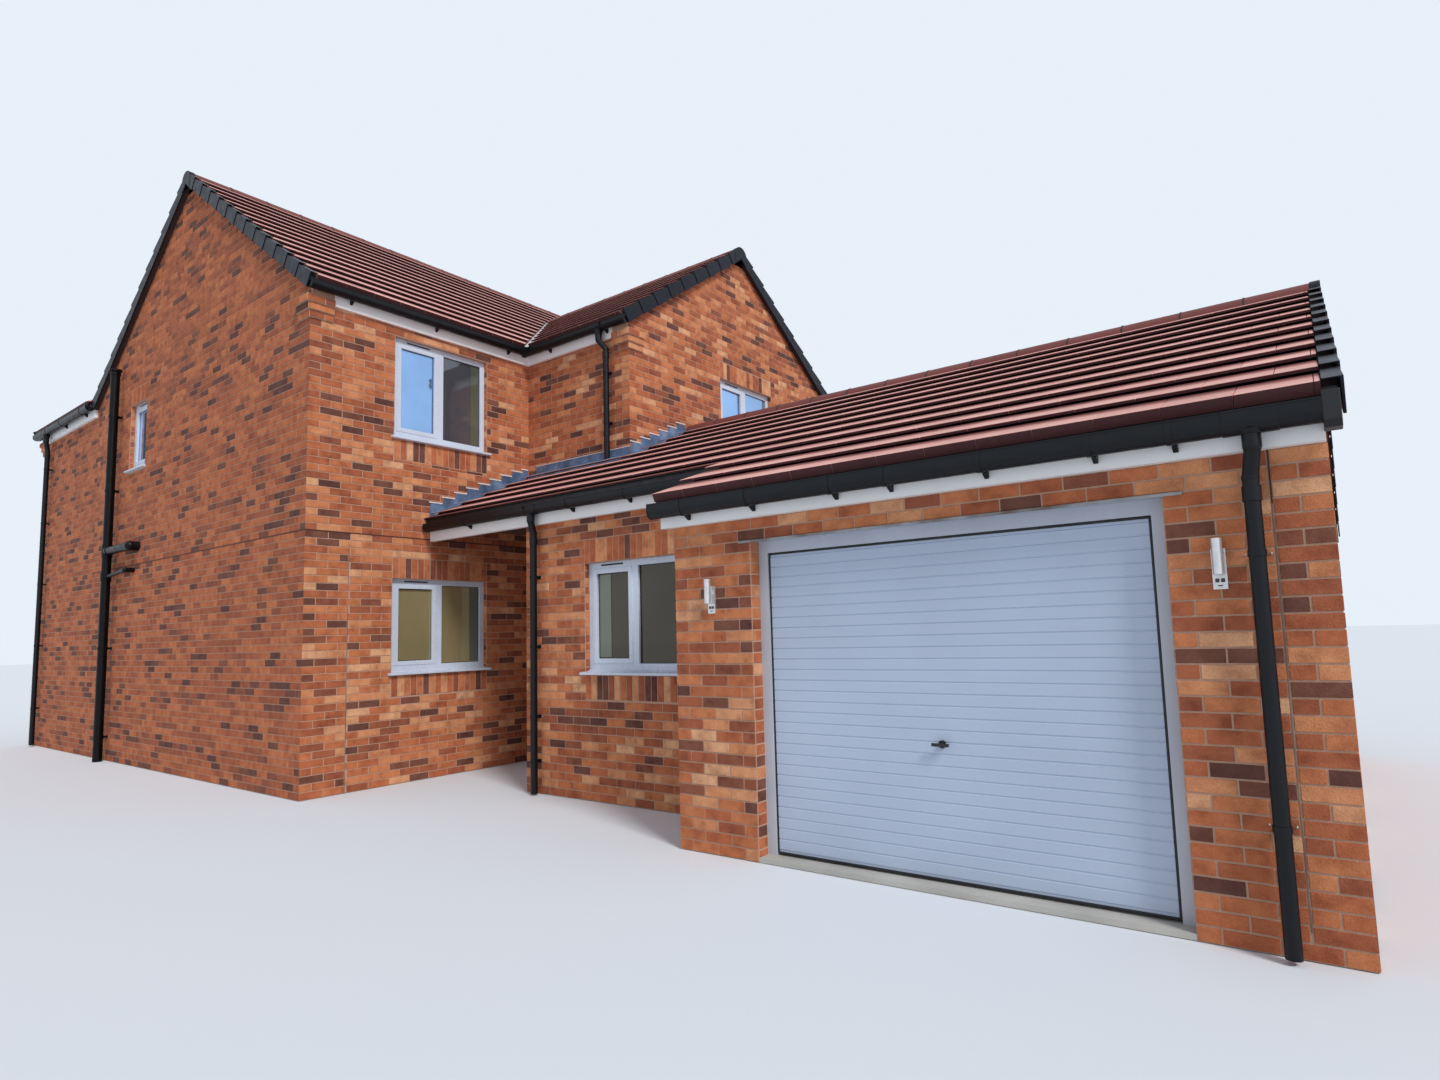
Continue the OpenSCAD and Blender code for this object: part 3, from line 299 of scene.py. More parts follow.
def wall_core_material(node, corner, turn):
    """Mortar on the outer leaf and the ends of a wall and pale plaster on its inner faces."""
    outward = {0: (0, -1, 0), 90: (1, 0, 0), 180: (0, 1, 0), -90: (-1, 0, 0)}[turn]
    face_at = sum(place * way for place, way in zip(corner, outward))
    material, tree, shader = plain_material(f"{node}_core", mortar_colour, 0.9)
    where = tree.nodes.new("ShaderNodeTexCoord")
    depth = tree.nodes.new("ShaderNodeVectorMath")
    depth.operation = "DOT_PRODUCT"
    depth.inputs[1].default_value = outward
    parts = tree.nodes.new("ShaderNodeSeparateXYZ")
    for reader in (depth, parts):
        tree.links.new(where.outputs["Object"], reader.inputs[0])
    low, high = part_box(node)
    along = 1 if outward[0] else 0
    result = math_node(tree, "GREATER_THAN", depth.outputs["Value"], face_at - outer_leaf)
    for comparison, limit in (
        ("LESS_THAN", low[along] + wall_end),
        ("GREATER_THAN", high[along] - wall_end),
    ):
        at_end = math_node(tree, comparison, parts.outputs[along], limit)
        result = math_node(tree, "MAXIMUM", result, at_end)
    own = shade_ramp(tree, result, [(0.0, plaster_colour), (1.0, mortar_colour)])
    tree.links.new(times(tree, own, patches(tree, 30, 0.86, 1.06)), shader.inputs["Base Color"])
    bumped(tree, shader, 220, 0.4, 0.002)
    return material


def finish_node(node, material):
    """Gives a CAD piece that stays as it is its own material."""
    nodes[node].data.materials.clear()
    nodes[node].data.materials.append(material)


def add_piece(name, bm, material, stands_for=None, body="house"):
    """A new piece with its body, and the CAD node that it stands for, if any."""
    piece = mesh_object(name, bm, material)
    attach(piece, body)
    if stands_for:
        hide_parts(stands_for)


def shift(x, y, z):
    return Matrix.Translation((x, y, z))


def face_place(corner, turn):
    """Local axes of a wall face: x along it from its left end, y inwards and z up."""
    return Matrix.Translation(corner) @ Matrix.Rotation(math.radians(turn), 4, "Z")


def cell_strip(bm, left, right, low, high, cells):
    """A row of equal cells in the plane y = 0, facing the front."""
    width = right - left
    made = bmesh.ops.create_grid(
        bm, x_segments=cells, y_segments=1, size=0.5,
        matrix=shift(left + width / 2, 0, (low + high) / 2)
        @ Matrix.Rotation(math.radians(90), 4, "X")
        @ Matrix.Diagonal((width, high - low, 1, 1)),
    )
    return made["verts"]


def drop_faces(bm, faces):
    bmesh.ops.delete(bm, geom=faces, context="FACES")


def split_along(bm, faces, point, normal, clear=False):
    """Cuts these faces along a plane, and clears what lies beyond it if asked. The edges and
    corners keep their order, so that one seed gives the same bricks in every run."""
    edges = dict.fromkeys(edge for face in faces for edge in face.edges)
    corners = dict.fromkeys(corner for face in faces for corner in face.verts)
    bmesh.ops.bisect_plane(
        bm, geom=[*corners, *edges, *faces], dist=1e-5, plane_co=point, plane_no=normal,
        clear_outer=clear,
    )


def face_extent(face):
    xs = [corner.co.x for corner in face.verts]
    zs = [corner.co.z for corner in face.verts]
    return min(xs), max(xs), min(zs), max(zs)


def clear_zone(bm, left, right, low, high):
    """Cuts the cells along the four sides of a zone and takes out those inside it."""
    slack = 1e-4
    for point, normal in (
        ((left, 0, 0), (1, 0, 0)), ((right, 0, 0), (1, 0, 0)),
        ((0, 0, low), (0, 0, 1)), ((0, 0, high), (0, 0, 1)),
    ):
        near = []
        for face in bm.faces:
            x_low, x_high, z_low, z_high = face_extent(face)
            beside = x_high > left + slack and x_low < right - slack
            if beside and z_high > low + slack and z_low < high - slack:
                near.append(face)
        split_along(bm, near, point, normal)
    inside = []
    for face in bm.faces:
        middle = face.calc_center_median()
        if left < middle.x < right and low < middle.z < high:
            inside.append(face)
    drop_faces(bm, inside)


def inset_faces(bm, faces, width, depth):
    """Draws each face in by a width and raises it; the rims round the faces are given back."""
    return bmesh.ops.inset_individual(
        bm, faces=faces, thickness=width, depth=depth, use_even_offset=True,
    )["faces"]


def open_joints(bm, width):
    """Draws every face in by half a joint all round and takes out the rims."""
    drop_faces(bm, inset_faces(bm, list(bm.faces), width / 2, 0))


thin_brick, thin_area = 0.03, 0.0016
brick_edge = 0.0015
burnt_share = 0.16


def raise_bricks(bm, proud=brick_proud, shaded_redder=False):
    """Turns the cells into bricks: a flat joint round each, then a short steep side. When asked,
    it pulls the tones above the burnt share down, so that a wall has as many burnt bricks and
    fewer pale ones and reads darker and redder, as painted shade."""
    thin = []
    for face in bm.faces:
        x_low, x_high, z_low, z_high = face_extent(face)
        if min(x_high - x_low, z_high - z_low) < thin_brick or face.calc_area() < thin_area:
            thin.append(face)
    drop_faces(bm, thin)
    tone = bm.faces.layers.float.new("tone")
    for face in bm.faces:
        face[tone] = rng.random()
        if shaded_redder and face[tone] > burnt_share:
            face[tone] = burnt_share + (face[tone] - burnt_share) * 0.55
    open_joints(bm, brick_joint)
    inset_faces(bm, list(bm.faces), brick_edge, proud)


corner_reach = brick_joint / 2 + brick_proud - 0.001
movement_gap = 0.003


def brick_wall(name, face, width, top, holes=(), soldiers=(), slopes=(), joint_at=None, low=0.0,
               first_half=False, shaded_redder=False, cores=None):
    """Lays one wall face, which is its left end at ground level as seen from outside and its
    angle from the front. holes and soldiers are (left, right, low, high); cores are the CAD
    walls behind the bricks, where there is more than the one of the same name."""
    bm = bmesh.new()
    half_bricks = max(1, round(width / (stretcher / 2)))
    half = width / half_bricks
    for row in range(math.floor(low / course), math.ceil(top / course)):
        shifted = (row % 2 == 0) != first_half
        left = -half if shifted else 0
        cells = math.ceil((width - left) / (2 * half) - 1e-6)
        cell_strip(bm, left, left + cells * 2 * half, row * course, (row + 1) * course, cells)
    cuts = [((0, 0, 0), (-1, 0, 0)), ((width, 0, 0), (1, 0, 0)), ((0, 0, top), (0, 0, 1))]
    if low > 0:
        cuts.append(((0, 0, low), (0, 0, -1)))
    for point, normal in (*cuts, *slopes):
        split_along(bm, bm.faces, point, normal, clear=True)
    for zone in (*holes, *soldiers):
        clear_zone(bm, *zone)
    if joint_at:
        place, bottom, head = joint_at
        clear_zone(bm, place - movement_gap / 2, place + movement_gap / 2, bottom, head)
    for left, right, bottom, head in soldiers:
        cell_strip(bm, left, right, bottom, head, round((right - left) / course))
    for point in bm.verts:
        if point.co.x < 0.0001:
            point.co.x = -corner_reach
        elif point.co.x > width - 0.0001:
            point.co.x = width + corner_reach
    raise_bricks(bm, shaded_redder=shaded_redder)
    bm.transform(face_place(*face))
    add_piece(name, bm, facing_brick)
    for node in cores or [name.replace("_wall", "").replace("_bricks", "_wall")]:
        finish_node(node, wall_core_material(node, *face))


# Plan lines of the walls, read from pieces whose boxes have no overhang.
main_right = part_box("window_wall")[1].x
main_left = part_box("main_left_wall")[0].x
house_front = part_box("side_front_wall")[0].y
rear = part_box("cross_back_wall")[1].y
wall_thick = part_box("side_front_wall")[1].y - house_front
side_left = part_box("side_front_wall")[0].x - wall_thick
side_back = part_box("side_back_wall")[1].y
cross_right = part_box("cross_back_wall")[1].x + wall_thick
cross_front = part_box("entrance_wall")[0].y
hall_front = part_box("hall_wall")[0].y
hall_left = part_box("hall_wall")[0].x
garage_front = garage_corner.y
garage_left = garage_corner.x
garage_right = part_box("garage_end_wall")[1].x
garage_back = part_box("garage_back_wall")[1].y
door_left, door_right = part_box("garage_lintel")[0].x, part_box("garage_lintel")[1].x
door_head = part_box("garage_lintel")[1].z
main_span, wing_span = main_right - main_left, rear - cross_front
cross_wide, side_wide, side_deep = cross_right - main_right, main_left - side_left, side_back - house_front
window_wall_long = cross_front - house_front
garage_width, garage_depth = garage_right - garage_left, garage_back - garage_front

gable_face = ((main_left, house_front, 0), 0)
window_face = ((main_right, house_front, 0), 90)
entrance_face = ((main_right, cross_front, 0), 0)
cross_face = ((cross_right, cross_front, 0), 90)
hall_face = ((hall_left, hall_front, 0), 0)
garage_face = ((garage_left, garage_front, 0), 0)
side_back_face = ((main_left, side_back, 0), 180)
rear_face = ((main_right, rear, 0), 180)
cross_back_face = ((cross_right, rear, 0), 180)

house_eaves, garage_eaves = 5.15, 2.418
house_pitch, garage_pitch = math.radians(35), math.radians(25)
house, garage = (house_eaves, house_pitch), (garage_eaves, garage_pitch)
tucked = 0.02
wall_top = house_eaves - tucked
porch_top, return_top = 2.4, 2.775
sill_horn = 0.038
soldier = 0.225


def opening(node, axis, start):
    """The hole round a window node, measured along its wall from start."""
    low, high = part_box(node)
    return (low[axis] + sill_horn - start, high[axis] - sill_horn - start, low.z, high.z)


def slope_level(eaves, pitch, inwards):
    """Level of a roof's underside this far inwards from the wall's face."""
    return eaves + math.tan(pitch) * inwards


def gable_cuts(span, eaves, pitch):
    """The two planes that cut a gable of this span below its roof."""
    across, up = math.sin(pitch), math.cos(pitch)
    return [((0, 0, eaves), (-across, 0, up)), ((span, 0, eaves), (across, 0, up))]


def above(hole):
    return (hole[0], hole[1], hole[3], hole[3] + soldier)


def below(hole):
    return (hole[0], hole[1], hole[2] - soldier, hole[2])


def pair_soldiers(lower, upper):
    """Soldier courses of two storeys under an eaves, which leaves none above the upper."""
    return [above(lower), below(lower), below(upper)]


small_hole = opening("small_gable_window", 0, main_left)
upper_hole = opening("upper_window", 1, house_front)
lower_hole = opening("lower_window", 1, house_front)
cross_hole = opening("cross_gable_window", 1, cross_front)
hall_hole = opening("hall_window", 0, hall_left)
gable_top = slope_level(*house, main_span / 2)
wing_top = slope_level(*house, wing_span / 2)
window_wide = upper_hole[1] - upper_hole[0]


def rear_holes(from_x, lefts):
    """Openings of both storeys in a wall that faces the back; lefts are their low x ends."""
    holes = []
    for left in lefts:
        start = from_x - (left + window_wide)
        for hole in (lower_hole, upper_hole):
            holes.append((start, start + window_wide, hole[2], hole[3]))
    return holes


rear_left_gap, rear_right_gap, cross_rear_gap = 1.07, 1.095, 0.15
side_rear = rear_holes(main_left, [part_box("rear_windows")[0].x + sill_horn])
main_rear = rear_holes(
    main_right, [main_left + rear_left_gap, main_right - rear_right_gap - window_wide],
)
cross_rear = rear_holes(cross_right, [cross_right - wall_thick - cross_rear_gap - window_wide])
# The front gable and the side block's front are laid darker and redder as painted shade on the walls that
# face the front.
brick_wall(
    "front_gable_bricks", gable_face, main_span, gable_top, holes=[small_hole],
    soldiers=[above(small_hole)], slopes=gable_cuts(main_span, *house), shaded_redder=True,
)
brick_wall("side_front_bricks", ((side_left, house_front, 0), 0), side_wide, wall_top, shaded_redder=True)
brick_wall(
    "side_end_bricks", ((side_left, side_back, 0), -90), side_deep, wing_top,
    slopes=gable_cuts(side_deep, *house), first_half=True,
)
brick_wall(
    "side_back_bricks", side_back_face, side_wide, wall_top,
    holes=side_rear, soldiers=pair_soldiers(*side_rear),
)
brick_wall("main_left_bricks", ((main_left, rear, 0), -90), rear - side_back, wall_top)
brick_wall(
    "rear_gable_bricks", rear_face, main_span, gable_top, holes=main_rear,
    soldiers=[make(hole) for hole in main_rear for make in (above, below)],
    slopes=gable_cuts(main_span, *house),
)
brick_wall(
    "cross_back_bricks", cross_back_face, cross_wide, wall_top,
    holes=cross_rear, soldiers=pair_soldiers(*cross_rear),
)
house_joint, house_joint_top = 0.44, 2.4
brick_wall(
    "window_wall_bricks", window_face, window_wall_long, wall_top, holes=[upper_hole, lower_hole],
    soldiers=pair_soldiers(lower_hole, upper_hole), joint_at=(house_joint, 0, house_joint_top),
    first_half=True,
)
door_low, door_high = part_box("front_door")
door_hole = (door_low.x - main_right, door_high.x - main_right, door_low.z, door_high.z)
brick_wall("entrance_wall_bricks", entrance_face, cross_wide, wall_top, holes=[door_hole])
brick_wall(
    "cross_gable_bricks", cross_face, wing_span, wing_top, holes=[cross_hole], low=porch_top,
    soldiers=[above(cross_hole)], slopes=gable_cuts(wing_span, *house), first_half=True,
)
hall_top = slope_level(*garage, hall_front - garage_front)
brick_wall(
    "hall_wall_bricks", hall_face, garage_left - hall_left, hall_top,
    holes=[hall_hole], soldiers=[above(hall_hole), below(hall_hole)],
)
for name, left, back, front, top in (
    ("hall_return_bricks", hall_left, cross_front, hall_front, return_top),
    ("garage_return_bricks", garage_left, hall_front, garage_front, garage_eaves),
):
    brick_wall(name, ((left, back, 0), -90), back - front, top, first_half=True)
doorway = (door_left - garage_left, door_right - garage_left, -0.1, door_head)
garage_joint, garage_joint_low = garage_width - 0.22, 0.12
brick_wall(
    "garage_front_bricks", garage_face, garage_width, garage_eaves,
    holes=[doorway], joint_at=(garage_joint, garage_joint_low, 2.3),
    cores=["garage_piers", "garage_head_wall"],
)
brick_wall(
    "garage_end_bricks", ((garage_right, garage_front, 0), 90), garage_depth,
    slope_level(*garage, garage_depth / 2), slopes=gable_cuts(garage_depth, *garage), first_half=True,
)
brick_wall(
    "garage_back_bricks", ((garage_right, garage_back, 0), 180), garage_right - cross_right,
    garage_eaves - tucked,
)

# Corbels. Under each foot of the verges three courses step out round the corner, 20 mm at a
# time, in the same bricks; they carry the roof's overhang and throw a dark line each.

corbel_long = 0.225
corbel_step = 0.02
corbel_low = 64 * course
corbel_split = 0.36


def append_shape(bm, shape, matrix, tone=None, keep=False):
    """Adds a turned and moved copy of a small shape to a larger one. The small one is freed
    unless it is kept for the next copy."""
    mesh = bpy.data.meshes.new("copy")
    shape.to_mesh(mesh)
    mesh.transform(matrix)
    first = len(bm.faces)
    bm.from_mesh(mesh)
    bpy.data.meshes.remove(mesh)
    if tone is not None:
        layer = bm.faces.layers.float["tone"]
        bm.faces.ensure_lookup_table()
        for face in bm.faces[first:]:
            face[layer] = tone
    if not keep:
        shape.free()


corbels = bmesh.new()
for corner, turn, on_right in (
    ((main_right, house_front, 0), 0, True),
    ((side_left, house_front, 0), -90, True),
    ((side_left, side_back, 0), -90, False),
    ((main_left, rear, 0), 180, True),
    ((cross_right, cross_front, 0), 90, False),
    ((cross_right, rear, 0), 90, True),
):
    other_turn = turn + 90 if on_right else turn - 90
    for face_turn, corner_right in ((turn, on_right), (other_turn, not on_right)):
        face_bricks = bmesh.new()
        for index in range(1, 4):
            out = corbel_step * index
            left, right = (-corbel_long, out) if corner_right else (-out, corbel_long)
            split = left + (right - left) * (corbel_split if corner_right else 1 - corbel_split)
            spans = [(left, right)] if index == 2 else [(left, split), (split, right)]
            for start, end in spans:
                row = corbel_low + (index - 1) * course
                laid = cell_strip(face_bricks, start, end, row, row + course, 1)
                bmesh.ops.translate(face_bricks, verts=laid, vec=(0, -out, 0))
        raise_bricks(face_bricks)
        append_shape(corbels, face_bricks, face_place(corner, face_turn))
add_piece("corbel_bricks", corbels, facing_brick)

# Reveals. The brick ends turn into each opening as far as its frame, one header to a
# course, so that no core of the wall shows beside the windows and the doors.

window_recess = 0.055
door_recess = 0.06
garage_reveal = 0.1025
jamb_proud = 0.002
wall_openings = [
    (*gable_face, small_hole, 1),
    (*window_face, upper_hole, 2),
    (*window_face, lower_hole, 2),
    (*cross_face, cross_hole, 2),
    (*hall_face, hall_hole, 2),
    *[(*side_back_face, hole, 2) for hole in side_rear],
    *[(*rear_face, hole, 2) for hole in main_rear],
    *[(*cross_back_face, hole, 2) for hole in cross_rear],
]
reveals = bmesh.new()
for corner, turn, hole, depth in (
    *[(corner, turn, hole, window_recess) for corner, turn, hole, _ in wall_openings],
    (*entrance_face, door_hole, door_recess),
    (*garage_face, (doorway[0], doorway[1], 0, doorway[3]), garage_reveal),
):
    left, right, low, high = hole
    for side_at, side_turn in ((left, 90), (right, -90)):
        jamb = bmesh.new()
        start, end = (0, depth) if side_turn == 90 else (-depth, 0)
        for row in range(math.ceil((high - low) / course)):
            top = min(high, low + (row + 1) * course)
            cell_strip(jamb, start, end, low + row * course, top, 1)
        raise_bricks(jamb, proud=jamb_proud)
        place = face_place(corner, turn) @ shift(side_at, 0, 0)
        append_shape(reveals, jamb, place @ Matrix.Rotation(math.radians(side_turn), 4, "Z"))
add_piece("reveal_bricks", reveals, facing_brick)

# Joints in the brickwork. A dark slip joint runs level round the main block at the upper
# floor, and beads of sealant fill the two upright movement joints as far as they go.

slip_low, slip_high, slip_proud = 2.619, 2.631, 0.0065
bead_half, bead_proud = 0.0035, 0.003
bead_top, garage_slip_top = 2.0, 2.25


def ease(bm, edges, width, segments=1, clamp=False):
    """Rounds these edges of a shape over."""
    bmesh.ops.bevel(
        bm, geom=edges, offset=width, offset_type="OFFSET", segments=segments, affect="EDGES",
        profile=0.5, material=-1, clamp_overlap=clamp,
    )


def level_bar(left, right, low, high, thick):
    """A bar standing proud of the plane y = 0 by its thickness."""
    bm = bmesh.new()
    bmesh.ops.create_cube(
        bm, size=1,
        matrix=shift((left + right) / 2, -thick / 2, (low + high) / 2)
        @ Matrix.Diagonal((right - left, thick, high - low, 1)),
    )
    ease(bm, list(bm.edges), min(thick, high - low, right - left) * 0.3, segments=2)
    return bm


def upright_bead(bm, face, at, low, high):
    """A narrow filling of an upright joint at this place along a wall face."""
    append_shape(bm, level_bar(at - bead_half, at + bead_half, low, high, bead_proud), face_place(*face))


slips, beads = bmesh.new(), bmesh.new()
for face, length in ((gable_face, main_span), (window_face, window_wall_long)):
    append_shape(slips, level_bar(0, length, slip_low, slip_high, slip_proud), face_place(*face))
upright_bead(slips, garage_face, garage_joint, bead_top, garage_slip_top)
upright_bead(beads, window_face, house_joint, 0, house_joint_top)
upright_bead(beads, garage_face, garage_joint, garage_joint_low, bead_top)
slip_dark = surface("slip_joint", srgb(66, 40, 34), 0.8, tint=(12, 0.75, 1.3), bump=(200, 0.3, 0.001))
sealant = surface(
    "joint_sealant", srgb(130, 98, 82), 0.6, bump=(90, 0.2, 0.001),
    ramp=(3, [(0.0, srgb(104, 76, 62)), (0.5, srgb(130, 98, 82)), (1.0, srgb(158, 130, 112))]),
)
add_piece("slip_joints", slips, slip_dark)
add_piece("sealant_beads", beads, sealant)

# Roof tiles. Flat interlocking tiles of dark brown-red concrete lie in broken bond on the
# boarded slopes; each course laps the one below, so its thick lower edge stands up.

tile_wide = 0.3
tile_thick = 0.018
tile_tilt = 0.032
deck_thick = 0.08
eaves_over = 0.095
verge_over = 0.06
tile_nose = 0.025
ridge_gap = 0.01
tile_gap = 0.002
tile_ease, tile_draft = 0.002, 0.0005
first_drop = 0.045


def tile_material():
    """Through-coloured concrete whose tones are set at a painted sheen, pale at the nose of each
    course; up the course it darkens as painted shade under the next course's edge, and the lower
    edge is darkened as painted shade."""
    material, tree, shader = plain_material("roof_tile", srgb(128, 76, 70), 0.3)
    shader.inputs["Specular IOR Level"].default_value = 0.3
    # The tones are a pale pink that stands for the painted sheen; the ramps below darken it as painted
    # shade.
    concrete = shade_ramp(tree, attribute_value(tree, "tone"), [
        (0.0, srgb(216, 160, 149)),
        (0.5, srgb(225, 169, 158)),
        (1.0, srgb(233, 179, 168)),
    ])
    speckled = times(tree, concrete, patches(tree, 60, 0.9, 1.08))
    aged = times(tree, speckled, patches(tree, 1.4, 0.92, 1.08))
    # Painted shade: the faces of each tile's lower edge are made nearly black-brown.
    shade = shade_ramp(tree, attribute_value(tree, "painted_edge_shade"), [
        (0.0, (1, 1, 1, 1)),
        (1.0, (0.1, 0.05, 0.06, 1)),
    ])
    # Painted sheen and shade: full colour at the nose of each course, darker up the course towards the
    # next course's edge.
    painted_sheen_and_shade = shade_ramp(tree, attribute_value(tree, "rise"), [
        (0.0, (1, 1, 1, 1)),
        (0.48, (0.88, 0.82, 0.81, 1)),
        (0.66, (0.48, 0.31, 0.3, 1)),
        (0.8, (0.24, 0.13, 0.13, 1)),
        (1.0, (0.15, 0.075, 0.08, 1)),
    ])
    worn = times(tree, times(tree, aged, painted_sheen_and_shade), shade)
    tree.links.new(worn, shader.inputs["Base Color"])
    roughened(tree, shader, 9, 0.5, 0.66)
    bumped(tree, shader, 320, 0.25, 0.0012)
    return material


roof_tile = tile_material()
deck_dark = surface("roof_boards", srgb(58, 36, 34), 0.8, tint=(20, 0.8, 1.1), bump=(60, 0.3, 0.002))
for node in ("main_roof", "cross_roof", "side_roof", "garage_roof"):
    finish_node(node, deck_dark)


def slope_place(corner, turn, pitch):
    """Local axes of a slope: x along its eaves, y up the slope, z square to it."""
    return face_place(corner, turn) @ Matrix.Rotation(pitch, 4, "X")


def deck_level(eaves, pitch, inwards):
    """Level of the boards' upper face this far inwards from the wall's face."""
    return slope_level(eaves, pitch, inwards) + deck_thick / math.cos(pitch)


def beyond(place, face, plane):
    point, normal = plane
    return (place @ face.calc_center_median() - point).dot(normal)


def tiled_slope(name, corner, turn, pitch, width, run, courses, valleys=(), notches=()):
    """Tiles on one slope. run is its level depth; a cell beyond all the valley planes, or
    inside a notch (low x, low y, high x, high y), is left out."""
    place = slope_place(corner, turn, pitch)
    back = place.inverted()
    gauge = run / math.cos(pitch) / courses
    bm = bmesh.new()
    for row in range(courses):
        left = -tile_wide / 2 if row % 2 else 0
        cells = math.ceil((width - left) / tile_wide)
        bmesh.ops.create_grid(
            bm, x_segments=cells, y_segments=1, size=0.5,
            matrix=shift(left + cells * tile_wide / 2, (row + 0.5) * gauge, 0)
            @ Matrix.Diagonal((cells * tile_wide, gauge, 1, 1)),
        )
    split_along(bm, bm.faces, (0, 0, 0), (-1, 0, 0), clear=True)
    split_along(bm, bm.faces, (width, 0, 0), (1, 0, 0), clear=True)

    notch_planes = []
    for low_x, low_y, high_x, high_y in notches:
        notch_planes.append([
            (Vector((low_x, 0, 0)), Vector((1, 0, 0))),
            (Vector((high_x, 0, 0)), Vector((-1, 0, 0))),
            (Vector((0, low_y, 0)), Vector((0, 1, 0))),
            (Vector((0, high_y, 0)), Vector((0, -1, 0))),
        ])
    for planes in (list(valleys), *notch_planes):
        for plane in planes:
            others = [other for other in planes if other is not plane]
            near = [f for f in bm.faces if all(beyond(place, f, other) > -0.3 for other in others)]
            split_along(bm, near, back @ plane[0], back.to_3x3() @ plane[1])
        if planes:
            lost = [f for f in bm.faces if all(beyond(place, f, plane) > 0 for plane in planes)]
            drop_faces(bm, lost)

    slivers = [face for face in bm.faces if face.calc_area() < 0.003]
    drop_faces(bm, slivers)
    tone = bm.faces.layers.float.new("tone")
    for face in bm.faces:
        face[tone] = rng.random()
    open_joints(bm, tile_gap)
    # The lower edge faces of each tile are marked here for painted shade.
    painted_edge_shade = bm.faces.layers.float.new("painted_edge_shade")
    sides = set(inset_faces(bm, list(bm.faces), tile_draft, tile_thick - tile_ease))
    inset_faces(bm, [face for face in bm.faces if face not in sides], tile_ease, tile_ease)
    for face in sides:
        if face.normal.y < -0.6:
            face[painted_edge_shade] = 1
    bmesh.ops.holes_fill(bm, edges=[edge for edge in bm.edges if edge.is_boundary], sides=0)
    bmesh.ops.recalc_face_normals(bm, faces=list(bm.faces))
    # rise is the share of the way up each course: it lifts the tiles into steps and sets their painted
    # sheen and shade.
    rise = bm.verts.layers.float.new("rise")
    for point in bm.verts:
        up = point.co.y / gauge
        point[rise] = up - math.floor(up)
        if up < 0.01 and point.co.z < 0.001:
            point.co.z -= first_drop
        point.co.z += tile_tilt * (1 - point[rise])
    bm.transform(place)
    add_piece(name, bm, roof_tile)


main_half, wing_half, garage_half = main_span / 2, wing_span / 2, garage_depth / 2
main_mid = (main_left + main_right) / 2
cross_mid = cross_front + wing_half
side_mid = house_front + wing_half
garage_mid = garage_front + garage_half
main_long = rear - house_front
cross_long = cross_wide + wing_half
side_long = side_wide + wing_half
foot_out = eaves_over + tile_nose
foot_gap = eaves_over + 0.035
garage_run = garage_half + foot_out - ridge_gap
wing_run = wing_half + foot_out - ridge_gap
house_foot = deck_level(*house, -foot_out)
garage_foot = deck_level(*garage, -foot_out)
valley_half = 0.035
main_courses, wing_courses, garage_courses = 13, 9, 11
main_size = (house_pitch, main_long, main_half + foot_out - ridge_gap, main_courses)
cross_size = (house_pitch, cross_long, wing_run, wing_courses)
side_size = (house_pitch, side_long, wing_run, wing_courses)
step_at = garage_left - 0.09
spare = 0.5


def valley(corner, across):
    """A valley as the upright plane of the tiles' cut; across leads over to the other slope."""
    across = Vector(across).normalized()
    return (Vector(corner) - across * valley_half, across)


front_corner, back_corner = entrance_face[0], rear_face[0]
left_front_corner, left_back_corner = gable_face[0], side_back_face[0]
slopes = [
    (
        "main_right", (main_right + foot_out, house_front, house_foot), 90, *main_size,
        [valley(front_corner, (1, 1, 0)), valley(back_corner, (1, -1, 0))], [],
    ),
    (
        "main_left", (main_left - foot_out, rear, house_foot), -90, *main_size,
        [valley(left_back_corner, (-1, -1, 0)), valley(left_front_corner, (-1, 1, 0))], [],
    ),
    (
        "cross_front", (cross_right - cross_long, cross_front - foot_out, house_foot), 0, *cross_size,
        [valley(front_corner, (-1, -1, 0))], [],
    ),
    (
        "cross_back", (cross_right, rear + foot_out, house_foot), 180, *cross_size,
        [valley(back_corner, (-1, 1, 0))],
        [(main_right - spare, rear - 0.001, main_right + foot_gap, rear + spare)],
    ),
    (
        "side_front", (side_left, house_front - foot_out, house_foot), 0, *side_size,
        [valley(left_front_corner, (1, -1, 0))],
        [(main_left - foot_gap, house_front - spare, main_left + spare, house_front + 0.001)],
    ),
    (
        "side_back", (side_left + side_long, side_back + foot_out, house_foot), 180, *side_size,
        [valley(left_back_corner, (1, 1, 0))], [],
    ),
    (
        "garage_front", (main_right, garage_front - foot_out, garage_foot), 0, garage_pitch,
        garage_right - main_right, garage_run, garage_courses, [],
        [
            (main_right - spare, garage_front - spare, step_at, hall_front - foot_out),
            (main_right - spare, cross_front, cross_right, garage_mid + spare),
        ],
    ),
    (
        "garage_back", (garage_right, garage_back + foot_out, garage_foot), 180, garage_pitch,
        garage_right - cross_right, garage_run, garage_courses, [], [],
    ),
]
for name, *slope in slopes:
    tiled_slope(f"{name}_tiles", *slope)

# Valley liners. A moulded pale grey trough lies in each valley, on the boards and under the
# cut tiles of both slopes, which stop short of its middle.

